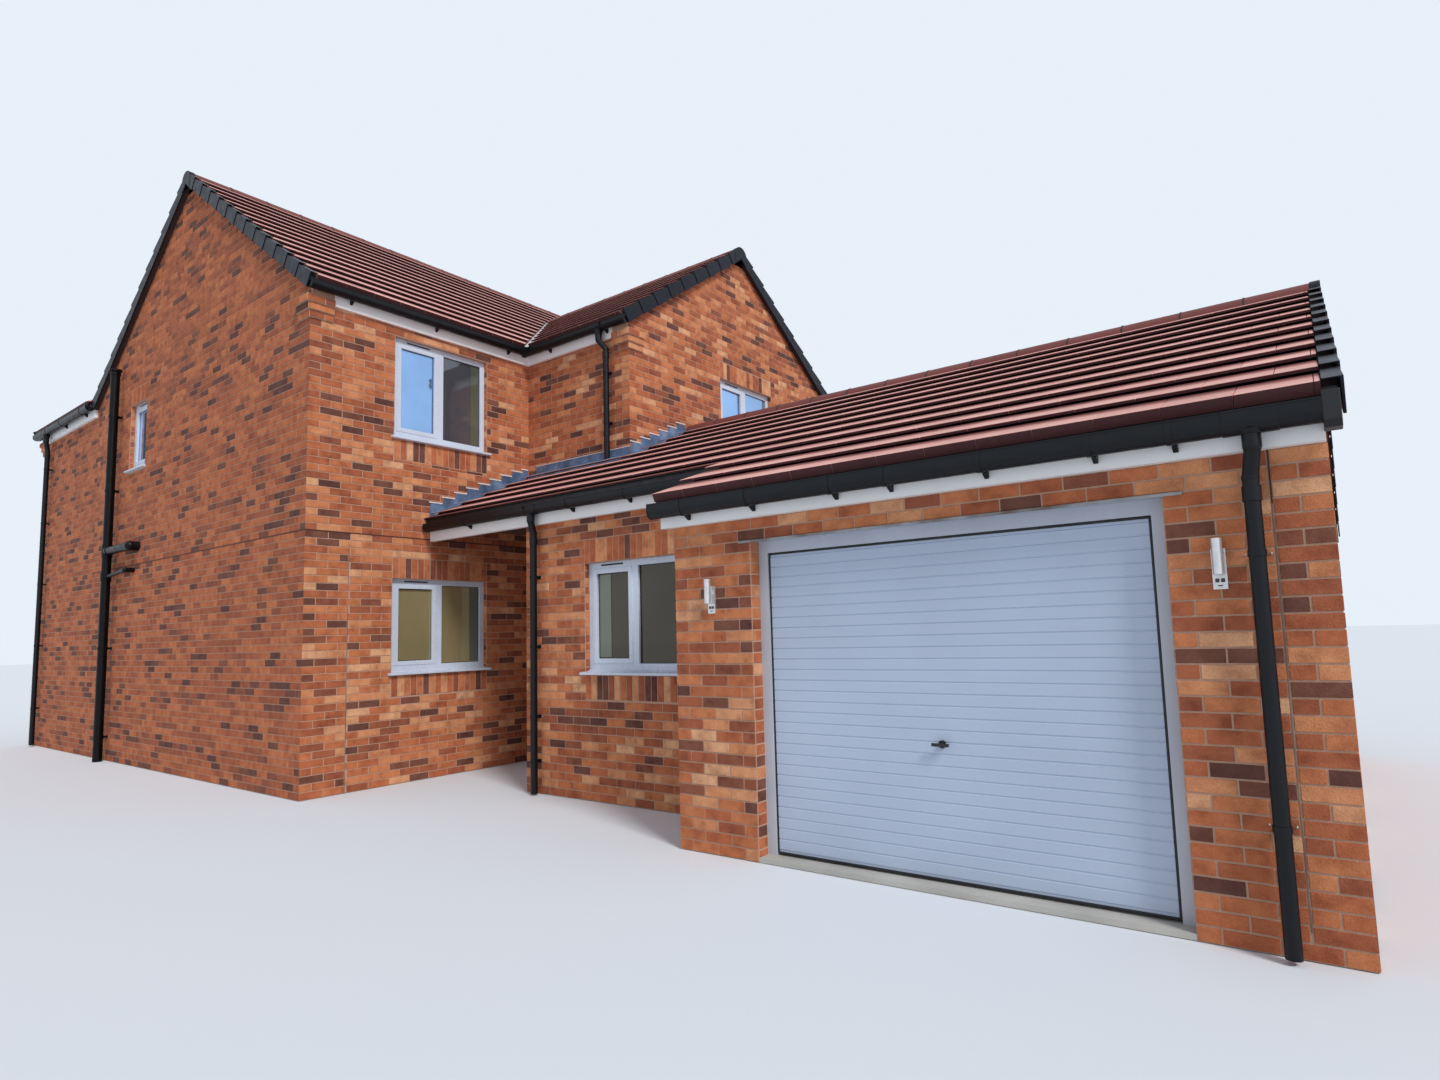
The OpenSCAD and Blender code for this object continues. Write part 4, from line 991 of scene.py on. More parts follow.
liner_level = 0.007
liner_lap = 0.03
liners = bmesh.new()
for _, corner, turn, pitch, width, run, _, valleys, _ in slopes:
    place = slope_place(corner, turn, pitch)
    back = place.inverted()
    length = run / math.cos(pitch)
    for plane in valleys:
        strip = bmesh.new()
        bmesh.ops.create_grid(
            strip, x_segments=1, y_segments=1, size=0.5,
            matrix=shift(width / 2, length / 2 + tile_nose, liner_level)
            @ Matrix.Diagonal((width, length, 1, 1)),
        )
        point, normal = plane
        cuts = [(point - normal * liner_lap, -normal), (point + normal * valley_half, normal)]
        for other_point, other_normal in valleys:
            if other_normal != normal:
                cuts.append((other_point + other_normal * valley_half, -other_normal))
        for cut_point, cut_normal in cuts:
            cut_normal = back.to_3x3() @ cut_normal
            split_along(strip, strip.faces, back @ cut_point, cut_normal, clear=True)
        append_shape(liners, strip, place)
liner_grey = surface(
    "valley_liner", srgb(206, 202, 204), 0.5, tint=(7, 0.8, 1.04), bump=(50, 0.15, 0.001),
)
add_piece("valley_liners", liners, liner_grey)

# Ridge tiles. Half-round tiles 450 mm long, of the same concrete, are clamped down dry over
# the ridges; a dark seal stands out a little in each open joint.

ridge_radius = 0.12
ridge_thick = 0.014
ridge_tile_long = 0.45
ridge_lap = 0.03


def sharp_edges(bm, degrees):
    return [
        edge for edge in bm.edges
        if len(edge.link_faces) == 2 and edge.calc_face_angle() > math.radians(degrees)
    ]


def half_round(length, radius, thick, steps=14):
    """A half-round tile along x, open below, with its edges eased."""
    bm = bmesh.new()
    ring = [(0, radius - thick, 0), (length, radius - thick, 0), (length, radius, 0), (0, radius, 0)]
    bm.faces.new([bm.verts.new(point) for point in ring])
    bmesh.ops.spin(
        bm, geom=[*bm.verts, *bm.edges, *bm.faces], cent=(0, 0, 0), axis=(1, 0, 0),
        angle=math.pi, steps=steps, use_merge=False,
    )
    bmesh.ops.recalc_face_normals(bm, faces=list(bm.faces))
    ease(bm, sharp_edges(bm, 60), 0.0025)
    return bm


def crest(eaves, pitch, half):
    """Level of the ridge tiles' middle line, where their feet stand on both slopes."""
    return deck_level(eaves, pitch, half) - (ridge_radius - ridge_thick) * math.tan(pitch)


tiles, seals = bmesh.new(), bmesh.new()
# The ridge tiles carry the tiles' layers too; their painted edge shade is left at nothing.
for layer in ("tone", "painted_edge_shade"):
    tiles.faces.layers.float.new(layer)
main_crest, wing_crest = crest(*house, main_half), crest(*house, wing_half)
for start, turn, length, hooded_ends in (
    ((main_mid, house_front, main_crest), 90, main_long, 2),
    ((cross_right, cross_mid, wing_crest), 180, cross_long - ridge_radius, 1),
    ((side_left, side_mid, wing_crest), 0, side_long - ridge_radius, 1),
    ((garage_right, garage_mid, crest(*garage, garage_half)), 180, garage_right - cross_right, 1),
):
    length += ridge_lap * hooded_ends
    count = round(length / ridge_tile_long)
    each = length / count
    tile = half_round(each - 0.008, ridge_radius, ridge_thick)
    seal = half_round(0.014, ridge_radius + 0.003, ridge_thick)
    place = face_place(start, turn) @ shift(-ridge_lap, 0, 0)
    for index in range(count):
        at = place @ shift(index * each + 0.004, 0, rng.uniform(-0.003, 0))
        append_shape(tiles, tile, at, rng.random(), keep=True)
        if index:
            at = place @ shift(index * each - 0.007, 0, 0)
            append_shape(seals, seal, at, keep=True)
    tile.free()
    seal.free()
# The ridge tiles take one fixed place far up the painted sheen-to-shade ramp, which gives them a plain
# dark brown-red.
rise = tiles.verts.layers.float.new("rise")
for point in tiles.verts:
    point[rise] = 0.82
add_piece("ridge_row", tiles, roof_tile, stands_for="ridge_tiles")
seal_dark = surface("ridge_seal", srgb(40, 28, 30), 0.7, tint=(30, 0.8, 1.2))
add_piece("ridge_seals", seals, seal_dark)

# Verge caps. Moulded blue-black caps clip over each course's end, one lapping the next,
# with a plate outside and a flange on the tiles; a hooded cap closes each ridge.

cap_out = 0.015
cap_wide = verge_over - 0.002
cap_start = eaves_over + 0.03


def trim_material(name, colour, low, high, specular=0.5):
    """Dark moulded plastic whose roughness lies between two values."""
    return surface(
        name, colour, 0.4, tint=(3, 0.85, 1.2), rough=(12, low, high), bump=(260, 0.12, 0.0008),
        specular=specular,
    )


def pressed_bar(points, length, edge=0.003, segments=1):
    """A profile in the x-z plane pulled along y, with its edges eased."""
    bm = bmesh.new()
    face = bm.faces.new([bm.verts.new((x, 0, z)) for x, z in points])
    moved = bmesh.ops.extrude_face_region(bm, geom=[face])["geom"]
    far = [part for part in moved if isinstance(part, bmesh.types.BMVert)]
    bmesh.ops.translate(bm, verts=far, vec=(0, length, 0))
    bmesh.ops.recalc_face_normals(bm, faces=list(bm.faces))
    ease(bm, list(bm.edges), edge, segments)
    return bm


def verge_cap(length, side):
    """One cap in slope axes. Its flange lies over x from 0 to cap_wide, its plate outside."""
    under, over = -deck_thick - 0.018, 0.034
    cap = pressed_bar([
        (-cap_out, under), (-0.002, under), (-0.002, over - 0.006),
        (cap_wide, over - 0.006), (cap_wide, over), (-cap_out, over),
    ], length - 0.009, edge=0.002)
    for point in cap.verts:
        lap = 1 - point.co.y / length
        point.co.z += (0.024 if point.co.z > 0 else -0.012) * lap
        if point.co.x < 0:
            point.co.x -= 0.005 * lap
    bmesh.ops.scale(cap, vec=(side, 1, 1), verts=cap.verts)
    if side < 0:
        bmesh.ops.reverse_faces(cap, faces=list(cap.faces))
    return cap


def verge_run(caps, x, y, turn, eaves, pitch, half, count, side):
    """Caps up one verge; side is 1 at a slope's left end and -1 at its right end."""
    length = (half + cap_start) / math.cos(pitch) / count
    place = slope_place((x, y, deck_level(eaves, pitch, -cap_start)), turn, pitch)
    cap = verge_cap(length, side)
    for index in range(count):
        append_shape(caps, cap, place @ shift(0, index * length, 0), keep=True)
    cap.free()


def ridge_hood(caps, x, y, turn, eaves, pitch, half):
    """The cap at a ridge's end: a plate that meets both verges, then an arch over the tile."""
    deck_top = deck_level(eaves, pitch, half)
    reach = ridge_radius + 0.006
    arch = []
    for index in range(17):
        angle = index * math.pi / 16
        arch.append((reach * math.cos(angle), crest(eaves, pitch, half) + reach * math.sin(angle)))
    drop = reach * math.tan(pitch)
    for low, front, length, edge, segments in (
        (deck_top - deck_thick / math.cos(pitch) - 0.012, 0.006, 0.005, 0.0015, 1),
        (deck_top + 0.036, 0.001, 0.065, 0.006, 2),
    ):
        outline = [*arch, (-reach, low - drop), (0, low), (reach, low - drop)]
        place = face_place((x, y, 0), turn) @ shift(0, -cap_out - front, 0)
        append_shape(caps, pressed_bar(outline, length, edge, segments), place)


right_foot, left_foot = main_right + cap_start, main_left - cap_start
front_verge, rear_verge = house_front - verge_over, rear + verge_over
cross_verge, side_verge = cross_right + verge_over, side_left - verge_over
garage_verge = garage_right + verge_over
main_caps = (*house, main_half, main_courses)
wing_caps = (*house, wing_half, wing_courses)
garage_caps = (*garage, garage_half, garage_courses)
caps = bmesh.new()
for x, y, turn, roof, side in (
    (right_foot, front_verge, 90, main_caps, 1),
    (right_foot, rear_verge, 90, main_caps, -1),
    (left_foot, rear_verge, -90, main_caps, 1),
    (left_foot, front_verge, -90, main_caps, -1),
    (cross_verge, cross_front - cap_start, 0, wing_caps, -1),
    (cross_verge, rear + cap_start, 180, wing_caps, 1),
    (side_verge, house_front - cap_start, 0, wing_caps, 1),
    (side_verge, side_back + cap_start, 180, wing_caps, -1),
    (garage_verge, garage_front - cap_start, 0, garage_caps, -1),
    (garage_verge, garage_back + cap_start, 180, garage_caps, 1),
):
    verge_run(caps, x, y, turn, *roof, side)
for x, y, turn, roof in (
    (main_mid, front_verge, 0, main_caps),
    (main_mid, rear_verge, 180, main_caps),
    (cross_verge, cross_mid, 90, wing_caps),
    (side_verge, side_mid, -90, wing_caps),
    (garage_verge, garage_mid, 90, garage_caps),
):
    ridge_hood(caps, x, y, turn, *roof[:3])
verge_black = trim_material("verge_black", srgb(20, 22, 33), 0.36, 0.5, specular=0.2)
add_piece("verge_row", caps, verge_black, stands_for="verge_caps")

# Eaves trays. Black plastic trays close the boards' lower edge and drip into the gutter, and
# a closed black box ends the garage's eaves under the lowest verge cap.

tray_thick = 0.003
tray_over = verge_over - 0.004


def house_eaves_lines(out, over, corner):
    """The house's six eaves as (x, y, turn, length), each from its left end as seen from
    outside: out from the wall, over the verge and this far short of an inner corner."""
    return [
        (main_right + out, house_front - over, 90, window_wall_long - corner + over),
        (main_right + out, cross_front - out, 0, cross_wide - out + over),
        (side_left - over, house_front - out, 0, side_wide - foot_gap + over),
        (main_left - out, side_back + out, 180, side_wide - out + over),
        (main_left - out, rear + over, -90, rear - side_back - corner + over),
        (cross_right + over, rear + out, 180, cross_wide - foot_gap + over),
    ]


back_start, back_long = garage_right + tray_over, garage_right - cross_right + tray_over
trays = bmesh.new()
for line, (eaves, pitch) in (
    *[(line, house) for line in house_eaves_lines(eaves_over, tray_over, eaves_over)],
    ((step_at, garage_front - eaves_over, 0, garage_right - step_at + tray_over), garage),
    ((main_right, hall_front - eaves_over, 0, step_at - main_right), (hall_top, garage_pitch)),
    ((back_start, garage_back + eaves_over, 180, back_long), garage),
):
    x, y, turn, length = line
    under = slope_level(eaves, pitch, -eaves_over)
    bar = level_bar(0, length, under, under + deck_thick / math.cos(pitch) + 0.012, tray_thick)
    append_shape(trays, bar, face_place((x, y, 0), turn))
starter = [(-0.172, 2.314), (-0.144, 2.286), (-0.05, 2.286), (-0.05, 2.44), (-0.172, 2.446)]
starter_long = 0.066
for wall_y, facing in ((garage_front, 1), (garage_back, -1)):
    box = pressed_bar([(facing * out, level) for out, level in starter], starter_long)
    box.transform(Matrix.Rotation(math.radians(-90), 4, "Z") @ Matrix.Diagonal((-1, 1, 1, 1)))
    bmesh.ops.recalc_face_normals(box, faces=list(box.faces))
    append_shape(trays, box, shift(garage_right - 0.004, wall_y, 0))
tray_black = trim_material("tray_black", srgb(10, 11, 15), 0.4, 0.6)
add_piece("eaves_trays", trays, tray_black)

# Lead flashing. Sheets of grey lead are dressed down over the garage tiles and turned up the
# house walls, where their stepped tops are let into the bed joints with mortar, made near white
# as a painted highlight along the lead's turned edges.

flash_wide = 0.15
flash_up = 0.11
flash_run = course / math.tan(garage_pitch)
lead_proud = 0.01
lead_thick = 0.008
lead_edge = 0.0015
lead_clear = 0.01
step_lean = 0.022
apron_up = 0.13
slope_start = garage_front - foot_out


def tile_top(depth):
    """Level of the garage tiles' upper face this far in from their lowest edge."""
    up = depth / garage_run * garage_courses + 1e-6
    thick = tile_thick + tile_tilt * (1 - (up - math.floor(up)))
    return garage_foot + depth * math.tan(garage_pitch) + thick / math.cos(garage_pitch)


def dressing_points(low, high):
    """Depths at which the lead bends: on each tile's nose, middle and tail between two ends."""
    points = [low, high]
    for row in range(garage_courses):
        for part in (0.0, 0.45, 0.86):
            depth = (row + part) * garage_run / garage_courses
            if low + 0.01 < depth < high - 0.01:
                points.append(depth)
    return sorted(points)


def dressed_lead(sheets, depths, width, columns, place):
    """A sheet over the tiles: x runs from 0 to width, y is the depth; place sets it down."""
    bm = bmesh.new()
    rows = len(depths) - 1
    bmesh.ops.create_grid(bm, x_segments=columns, y_segments=rows, size=0.5)
    for point in bm.verts:
        depth = depths[round((point.co.y + 0.5) * rows)]
        wave = rng.uniform(0.002, 0.007)
        point.co = ((point.co.x + 0.5) * width, depth, tile_top(depth) + wave)
    bm.transform(place)
    bmesh.ops.solidify(bm, geom=list(bm.faces), thickness=0.003)
    bmesh.ops.recalc_face_normals(bm, faces=list(bm.faces))
    append_shape(sheets, bm, Matrix.Identity(4))


def stepped_lead(sheets, beads, wall_x, low, high, mirrored):
    """Upright steps on a wall that faces right, between two depths, and their pointing."""
    place = face_place((wall_x, 0, 0), 90)
    depth = low
    while depth < high - 0.02:
        end = min(depth + flash_run, high)
        foot, head = (deck_level(*garage, at - foot_out) for at in (depth, end))
        top = head + flash_up
        near, far = slope_start + depth, slope_start + end
        if mirrored:
            near, far = 2 * garage_mid - near, 2 * garage_mid - far
        lean = step_lean if far > near else -step_lean
        plate = pressed_bar([
            (near, foot + lead_clear), (far, head + lead_clear), (far, top), (near + lean, top),
            (near, top - 0.055),
        ], lead_thick, edge=lead_edge)
        append_shape(sheets, plate, place @ shift(0, -lead_proud, 0))
        left, right = sorted((near - lean / 2, far))
        append_shape(beads, level_bar(left, right, top - 0.004, top + 0.011, 0.016), place)
        depth = end


sheets, beads = bmesh.new(), bmesh.new()
ridge_depth = garage_mid - 0.125 - slope_start
for wall_x, low, high, reach, mirrored in (
    (main_right, hall_front - 0.06 - slope_start, cross_front - 0.02 - slope_start, 0, False),
    (cross_right, cross_front + 0.005 - slope_start, ridge_depth, flash_wide, False),
    (cross_right, foot_out + 0.02, ridge_depth, 0, True),
):
    stepped_lead(sheets, beads, wall_x, low, high, mirrored)
    at_wall = shift(wall_x + 0.002, slope_start, 0)
    if mirrored:
        at_wall = shift(wall_x + 0.002, 2 * garage_mid - slope_start, 0)
        at_wall = at_wall @ Matrix.Diagonal((1, -1, 1, 1))
    dressed_lead(sheets, dressing_points(low - reach, high), flash_wide, 3, at_wall)
entrance_depth = cross_front - slope_start
apron_left = main_right + 0.16
apron_long = cross_right - apron_left
dressed_lead(
    sheets, dressing_points(entrance_depth - flash_wide, entrance_depth - 0.002), apron_long, 12,
    shift(apron_left, slope_start, 0),
)
foot_level = deck_level(*garage, cross_front - garage_front)
sheet_long = apron_long / 3
for index in range(3):
    left = apron_left + index * sheet_long
    right = left + sheet_long + (0.03 if index < 2 else 0.008)
    low, high = foot_level + lead_clear, foot_level + apron_up
    outline = [(left, low), (right, low), (right, high), (left, high)]
    proud = lead_proud + 0.003 * (index % 2)
    upright = pressed_bar(outline, lead_thick, edge=lead_edge)
    append_shape(sheets, upright, shift(0, cross_front - proud, 0))
bead = level_bar(apron_left, cross_right, foot_level + 0.128, foot_level + 0.137, 0.011)
append_shape(beads, bead, shift(0, cross_front, 0))
milled_lead = surface(
    "milled_lead", srgb(118, 138, 170), 0.45, rough=(8, 0.32, 0.56), bump=(7, 0.5, 0.012),
    ramp=(5, [(0.0, srgb(60, 75, 97)), (0.5, srgb(86, 106, 135)), (1.0, srgb(124, 143, 172))]),
)
add_piece("lead_sheets", sheets, milled_lead, stands_for="lead_flashing")
# The pointing is mortar, made near white as a painted highlight on the lead's turned edges.
pointing_with_highlight = surface(
    "flashing_pointing_highlit", srgb(232, 220, 214), 0.8, tint=(20, 0.86, 1.05), bump=(160, 0.4, 0.002),
)
add_piece("flashing_pointing_highlit", beads, pointing_with_highlight)

# Fascia boards. White moulded boards close the eaves, their faces a little greyer in soft
# patches, and a board coloured dark brown as painted shade closes the porch's ceiling.

fascia_white = surface(
    "fascia_white", srgb(252, 249, 247), 0.4, tint=(2.5, 0.93, 1.01), rough=(20, 0.3, 0.5),
    bump=(90, 0.08, 0.0008),
)
finish_node("house_fascia", fascia_white)
finish_node("garage_fascia", fascia_white)
# The porch ceiling board is white; its dark brown is painted shade under the porch roof.
porch_painted_shade = surface("porch_board", srgb(92, 70, 58), 0.6, tint=(4, 0.8, 1.15), bump=(70, 0.2, 0.001))
finish_node("porch_soffit", porch_painted_shade)

# Gutters. Deep black plastic gutters with a round bottom and a tall front that reaches up to
# the tiles; broader bands mark their brackets and unions, and outlets drop to the pipes.

gutter_wide = 0.053
gutter_wall = 0.003
gutter_off = 0.064
house_board, garage_board = 0.04, 0.05
gutter_stop = verge_over - 0.0003
gutter_sink = 0.0035
gutter_black = trim_material("gutter_black", srgb(5, 8, 14), 0.3, 0.46, specular=0.3)
house_section = (0.032, 0.046, 0.07)
garage_section = (0.0, 0.056, 0.05)
porch_section = (0.0, 0.056, 0.032)
spigot_low, spigot_top = 0.0602, 0.018
bracket_half, outlet_half = 0.015, 0.11


def gutter_arc(section, grow):
    """The round bottom from the fascia to the front, this much larger all round."""
    points = []
    for index in range(13):
        angle = math.pi * index / 12
        across, down = gutter_wide + grow, section[1] + grow
        points.append((gutter_off - math.cos(angle) * across, section[0] - math.sin(angle) * down))
    return points


def gutter_ring(section, grow, wall):
    """The cross-section as a closed outline; x is out from the fascia, z up from the axis."""
    centre, _, rim = section
    front, back = gutter_off + gutter_wide + grow, gutter_off - gutter_wide - grow
    lip = [
        (front, rim - 0.008), (front + 0.003, rim - 0.006), (front + 0.003, rim),
        (front - wall, rim + 0.002),
    ]
    heel = [(back + wall, centre + 0.002), (back, centre + 0.002)]
    return [*gutter_arc(section, grow), *lip, *reversed(gutter_arc(section, grow - wall)), *heel]


def gutter_plate(section, grow):
    """The outline of an end stop, which closes the whole section."""
    front, back = gutter_off + gutter_wide + grow, gutter_off - gutter_wide - grow
    return [*gutter_arc(section, grow), (front, section[2]), (back, section[0] + 0.004)]


def along_gutter(bm, outline, start, end, place, edge):
    bar = pressed_bar(outline, end - start, edge=edge)
    along = shift(start, 0, 0) @ Matrix.Rotation(math.radians(-90), 4, "Z")
    append_shape(bm, bar, place @ along)


def gutter_run(bm, corner, turn, length, section, brackets, outlets=()):
    """One gutter from its left end as seen from outside; places are measured along it."""
    place = face_place(corner, turn)
    along_gutter(bm, gutter_ring(section, 0, gutter_wall), 0, length, place, 0.0008)
    for at in (-0.001, length - 0.004):
        along_gutter(bm, gutter_plate(section, 0.003), at, at + 0.005, place, 0.001)
    band = gutter_ring(section, 0.004, 0.005)
    low = section[0] - section[1]
    foot = [
        (0, low - 0.03), (0.01, low - 0.03), (0.05, low - 0.002), (0.05, low + 0.006), (0, low + 0.03),
    ]
    for at in brackets:
        along_gutter(bm, band, at - bracket_half, at + bracket_half, place, 0.0012)
        along_gutter(bm, foot, at + 0.002, at + 0.026, place, 0.002)
    for at in outlets:
        along_gutter(bm, band, at - outlet_half, at + outlet_half, place, 0.0015)
        spigot = bmesh.new()
        tall = low + spigot_low + spigot_top
        bmesh.ops.create_cone(
            spigot, cap_ends=True, segments=32, radius1=0.042, radius2=0.05, depth=tall,
            matrix=shift(at, -gutter_off, -spigot_low + tall / 2),
        )
        ease(spigot, sharp_edges(spigot, 60), 0.003, segments=2)
        append_shape(bm, spigot, place)


def even_brackets(length, first=0.44, pitch=1.0):
    count = max(1, int((length - first - 0.08) / pitch) + 1)
    return [first + index * pitch for index in range(count)]


house_axis = slope_level(*house, -eaves_over) - gutter_sink
garage_axis = slope_level(*garage, -eaves_over) - gutter_sink
porch_axis = slope_level(hall_top, garage_pitch, -eaves_over) - gutter_sink
corner_clear = house_board + gutter_off + gutter_wide
cross_outlet = cross_wide - wall_thick - 0.087 - house_board
house_bm, garage_bm = bmesh.new(), bmesh.new()
for line, outlets in zip(
    house_eaves_lines(house_board, gutter_stop, corner_clear),
    ([], [cross_outlet], [0.51 + gutter_stop], [], [], []),
):
    x, y, turn, length = line
    brackets = even_brackets(length)
    gutter_run(house_bm, (x, y, house_axis), turn, length, house_section, brackets, outlets)
garage_over, porch_out = 0.12, 0.04
gutter_run(
    garage_bm, (garage_left - garage_over, garage_front - garage_board, garage_axis), 0,
    garage_width + garage_over + gutter_stop, garage_section,
    [0.29, 0.85, 1.48, 1.85, 2.42, 2.98, 3.34], [garage_width - 0.27 + garage_over],
)
gutter_run(
    garage_bm, (main_right + porch_out, hall_front - garage_board, porch_axis), 0,
    garage_left - main_right - 0.18, porch_section,
    [0.72, 1.74, 2.33, 3.08], [hall_left + 0.205 - main_right - porch_out],
)
back_long = garage_right - cross_right + gutter_stop - verge_over - 0.025
gutter_run(
    garage_bm, (garage_right + gutter_stop, garage_back + garage_board, garage_axis), 180,
    back_long, garage_section, even_brackets(back_long, 0.35, 0.6),
)
add_piece("house_gutter_runs", house_bm, gutter_black, stands_for="house_gutters")
add_piece("garage_gutter_runs", garage_bm, gutter_black, stands_for="garage_gutters")

# Pipes. Round black plastic downpipes and the broader soil pipe have a soft gloss; sockets
# and clips stand out from the pipe, and the clips' bright screws hold them to the bricks.

finish_node("downpipes", gutter_black)
finish_node("soil_pipe", trim_material("soil_black", srgb(5, 4, 5), 0.3, 0.5, specular=0.2))
screws = bmesh.new()
for pipe_x, wall_y, levels in (
    (hall_left + 0.195, hall_front, (0.313, 0.734, 1.405, 2.084)),
    (garage_right - 0.29, garage_front, (0.564, 1.774)),
):
    for level in levels:
        for side in (-1, 1):
            head = bmesh.new()
            bmesh.ops.create_uvsphere(head, u_segments=12, v_segments=8, radius=0.006)
            split_along(head, head.faces, (0, 0.001, 0), (0, 1, 0), clear=True)
            bmesh.ops.holes_fill(head, edges=[e for e in head.edges if e.is_boundary], sides=0)
            place = shift(pipe_x + side * 0.05, wall_y - 0.0055, level)
            append_shape(screws, head, place)
screw_bright = surface(
    "bright_screws", srgb(206, 204, 200), 0.35, tint=(60, 0.85, 1.05), metallic=0.8,
)
add_piece("clip_screws", screws, screw_bright)

# Windows. White welded plastic casements sit a short way back in the brickwork, over
# projecting sills; the left light of a pair opens, and its sash stands a little proud. The
# glass lets no light through and its colours are painted: reflections of blue sky, the shade
# of dark rooms and views of lit rooms, with a pale band where the room's side wall stands
# behind the glass.

frame_bar = 0.058
sash_bar = 0.046
sill_high = 0.045
light_gap = 0.074
gasket_wide = 0.007


def softened_copy(node, name, material):
    """The node's own shape with its flat faces joined up and its edges eased."""
    bm = bmesh.new()
    bm.from_mesh(nodes[node].data)
    bmesh.ops.remove_doubles(bm, verts=bm.verts, dist=0.00005)
    bmesh.ops.dissolve_limit(
        bm, angle_limit=math.radians(0.5), verts=bm.verts, edges=bm.edges, delimit={"NORMAL"},
    )
    ease(bm, sharp_edges(bm, 40), 0.003, segments=2, clamp=True)
    for face in bm.faces:
        face.material_index = 0
    add_piece(name, bm, material, stands_for=node)


# The frames are white plastic; their pale blue-grey is a painted tint of the sky-lit shade they stand in.
window_white = surface(
    "window_white", srgb(206, 214, 228), 0.3, tint=(3, 0.92, 1.03), rough=(25, 0.22, 0.38),
    bump=(60, 0.06, 0.0006),
)
for node in (
    "upper_window", "lower_window", "hall_window", "small_gable_window", "cross_gable_window",
    "rear_windows",
):
    softened_copy(node, f"{node}_frame", window_white)


def glass_material(name, colour, metallic, rough, coat=0.8):
    material = surface(
        name, colour, rough, tint=(0.8, 0.8, 1.15), rough=(2, rough * 0.6, rough * 1.6),
        metallic=metallic,
    )
    inputs = material.node_tree.nodes["Principled BSDF"].inputs
    inputs["Transmission Weight"].default_value = 0
    inputs["IOR"].default_value = 1.52
    inputs["Coat Weight"].default_value = coat
    inputs["Coat Roughness"].default_value = 0.02
    return material


def pane(left, right, low, high, depth, tilt):
    """A sealed glass unit, turned a touch out of true as each one is in its rebate."""
    bm = bmesh.new()
    bmesh.ops.create_cube(bm, size=1, matrix=Matrix.Diagonal((right - left, 0.024, high - low, 1)))
    ease(bm, list(bm.edges), 0.0015)
    middle = shift((left + right) / 2, depth + 0.014, (low + high) / 2)
    bm.transform(middle @ Matrix.Rotation(tilt, 4, "Z"))
    return bm


def gasket(left, right, low, high, depth):
    """The black seal round a pane: a thin frame that stands proud of the glass."""
    bm = bmesh.new()
    cell_strip(bm, left, right, low, high, 1)
    ring = inset_faces(bm, list(bm.faces), gasket_wide, 0)
    drop_faces(bm, [face for face in bm.faces if face not in ring])
    bmesh.ops.solidify(bm, geom=list(bm.faces), thickness=0.004)
    bmesh.ops.translate(bm, verts=bm.verts, vec=(0, depth, 0))
    return bm


glass_at = window_recess + 0.0215
on_glass = shift(0, glass_at, 0)
on_sash = shift(0, window_recess, 0)
seal_lap = 0.001
unit_in = 0.022
band_in = 0.012
vent_half = 0.14
upper_storey = 3
sash_panes, fixed_panes, lower_panes, hall_panes = (bmesh.new() for _ in range(4))
gaskets, vents, wall_bands = (bmesh.new() for _ in range(3))
for corner, turn, hole, lights in wall_openings:
    left, right, low, high = hole
    wide = right - left
    sill_top = low + sill_high
    light = wide if lights == 1 else (wide - light_gap) / 2
    clear = light - (2 if lights == 1 else 1) * frame_bar
    place = face_place(corner, turn)
    edge = frame_bar + sash_bar
    panes = [(left + edge, left + frame_bar + clear - sash_bar, sill_top + edge, high - edge, True)]
    if lights == 2:
        start = left + light + light_gap
        panes.append((start, start + clear, sill_top + frame_bar, high - frame_bar, False))
    for start, end, bottom, top, opens in panes:
        upper = low > upper_storey
        group = sash_panes if opens and upper else fixed_panes if upper else lower_panes
        if hole is hall_hole:
            group = hall_panes
        elif hole is cross_hole:
            group = sash_panes
        unit = pane(start, end, bottom, top, window_recess + unit_in, rng.uniform(-0.006, 0.006))
        append_shape(group, unit, place)
        seal = gasket(start - seal_lap, end + seal_lap, bottom - seal_lap, top + seal_lap, glass_at)
        append_shape(gaskets, seal, place)
        # Some panes get a painted pale band: the room's lit side wall seen through the glass.
        band = None
        if hole is hall_hole and opens:
            band = (start + 0.01, start + 0.4 * (end - start))
        elif hole not in (hall_hole, cross_hole) and lights == 2 and not opens:
            band = (end - 0.24 * (end - start), end - band_in)
        if band:
            strip = level_bar(*band, bottom + band_in, top - band_in, 0.001)
            append_shape(wall_bands, strip, place @ on_glass)
        if opens:
            middle = (start + end) / 2
            slot = level_bar(middle - vent_half, middle + vent_half, high - 0.034, high - 0.02, 0.006)
            append_shape(vents, slot, place @ on_sash)
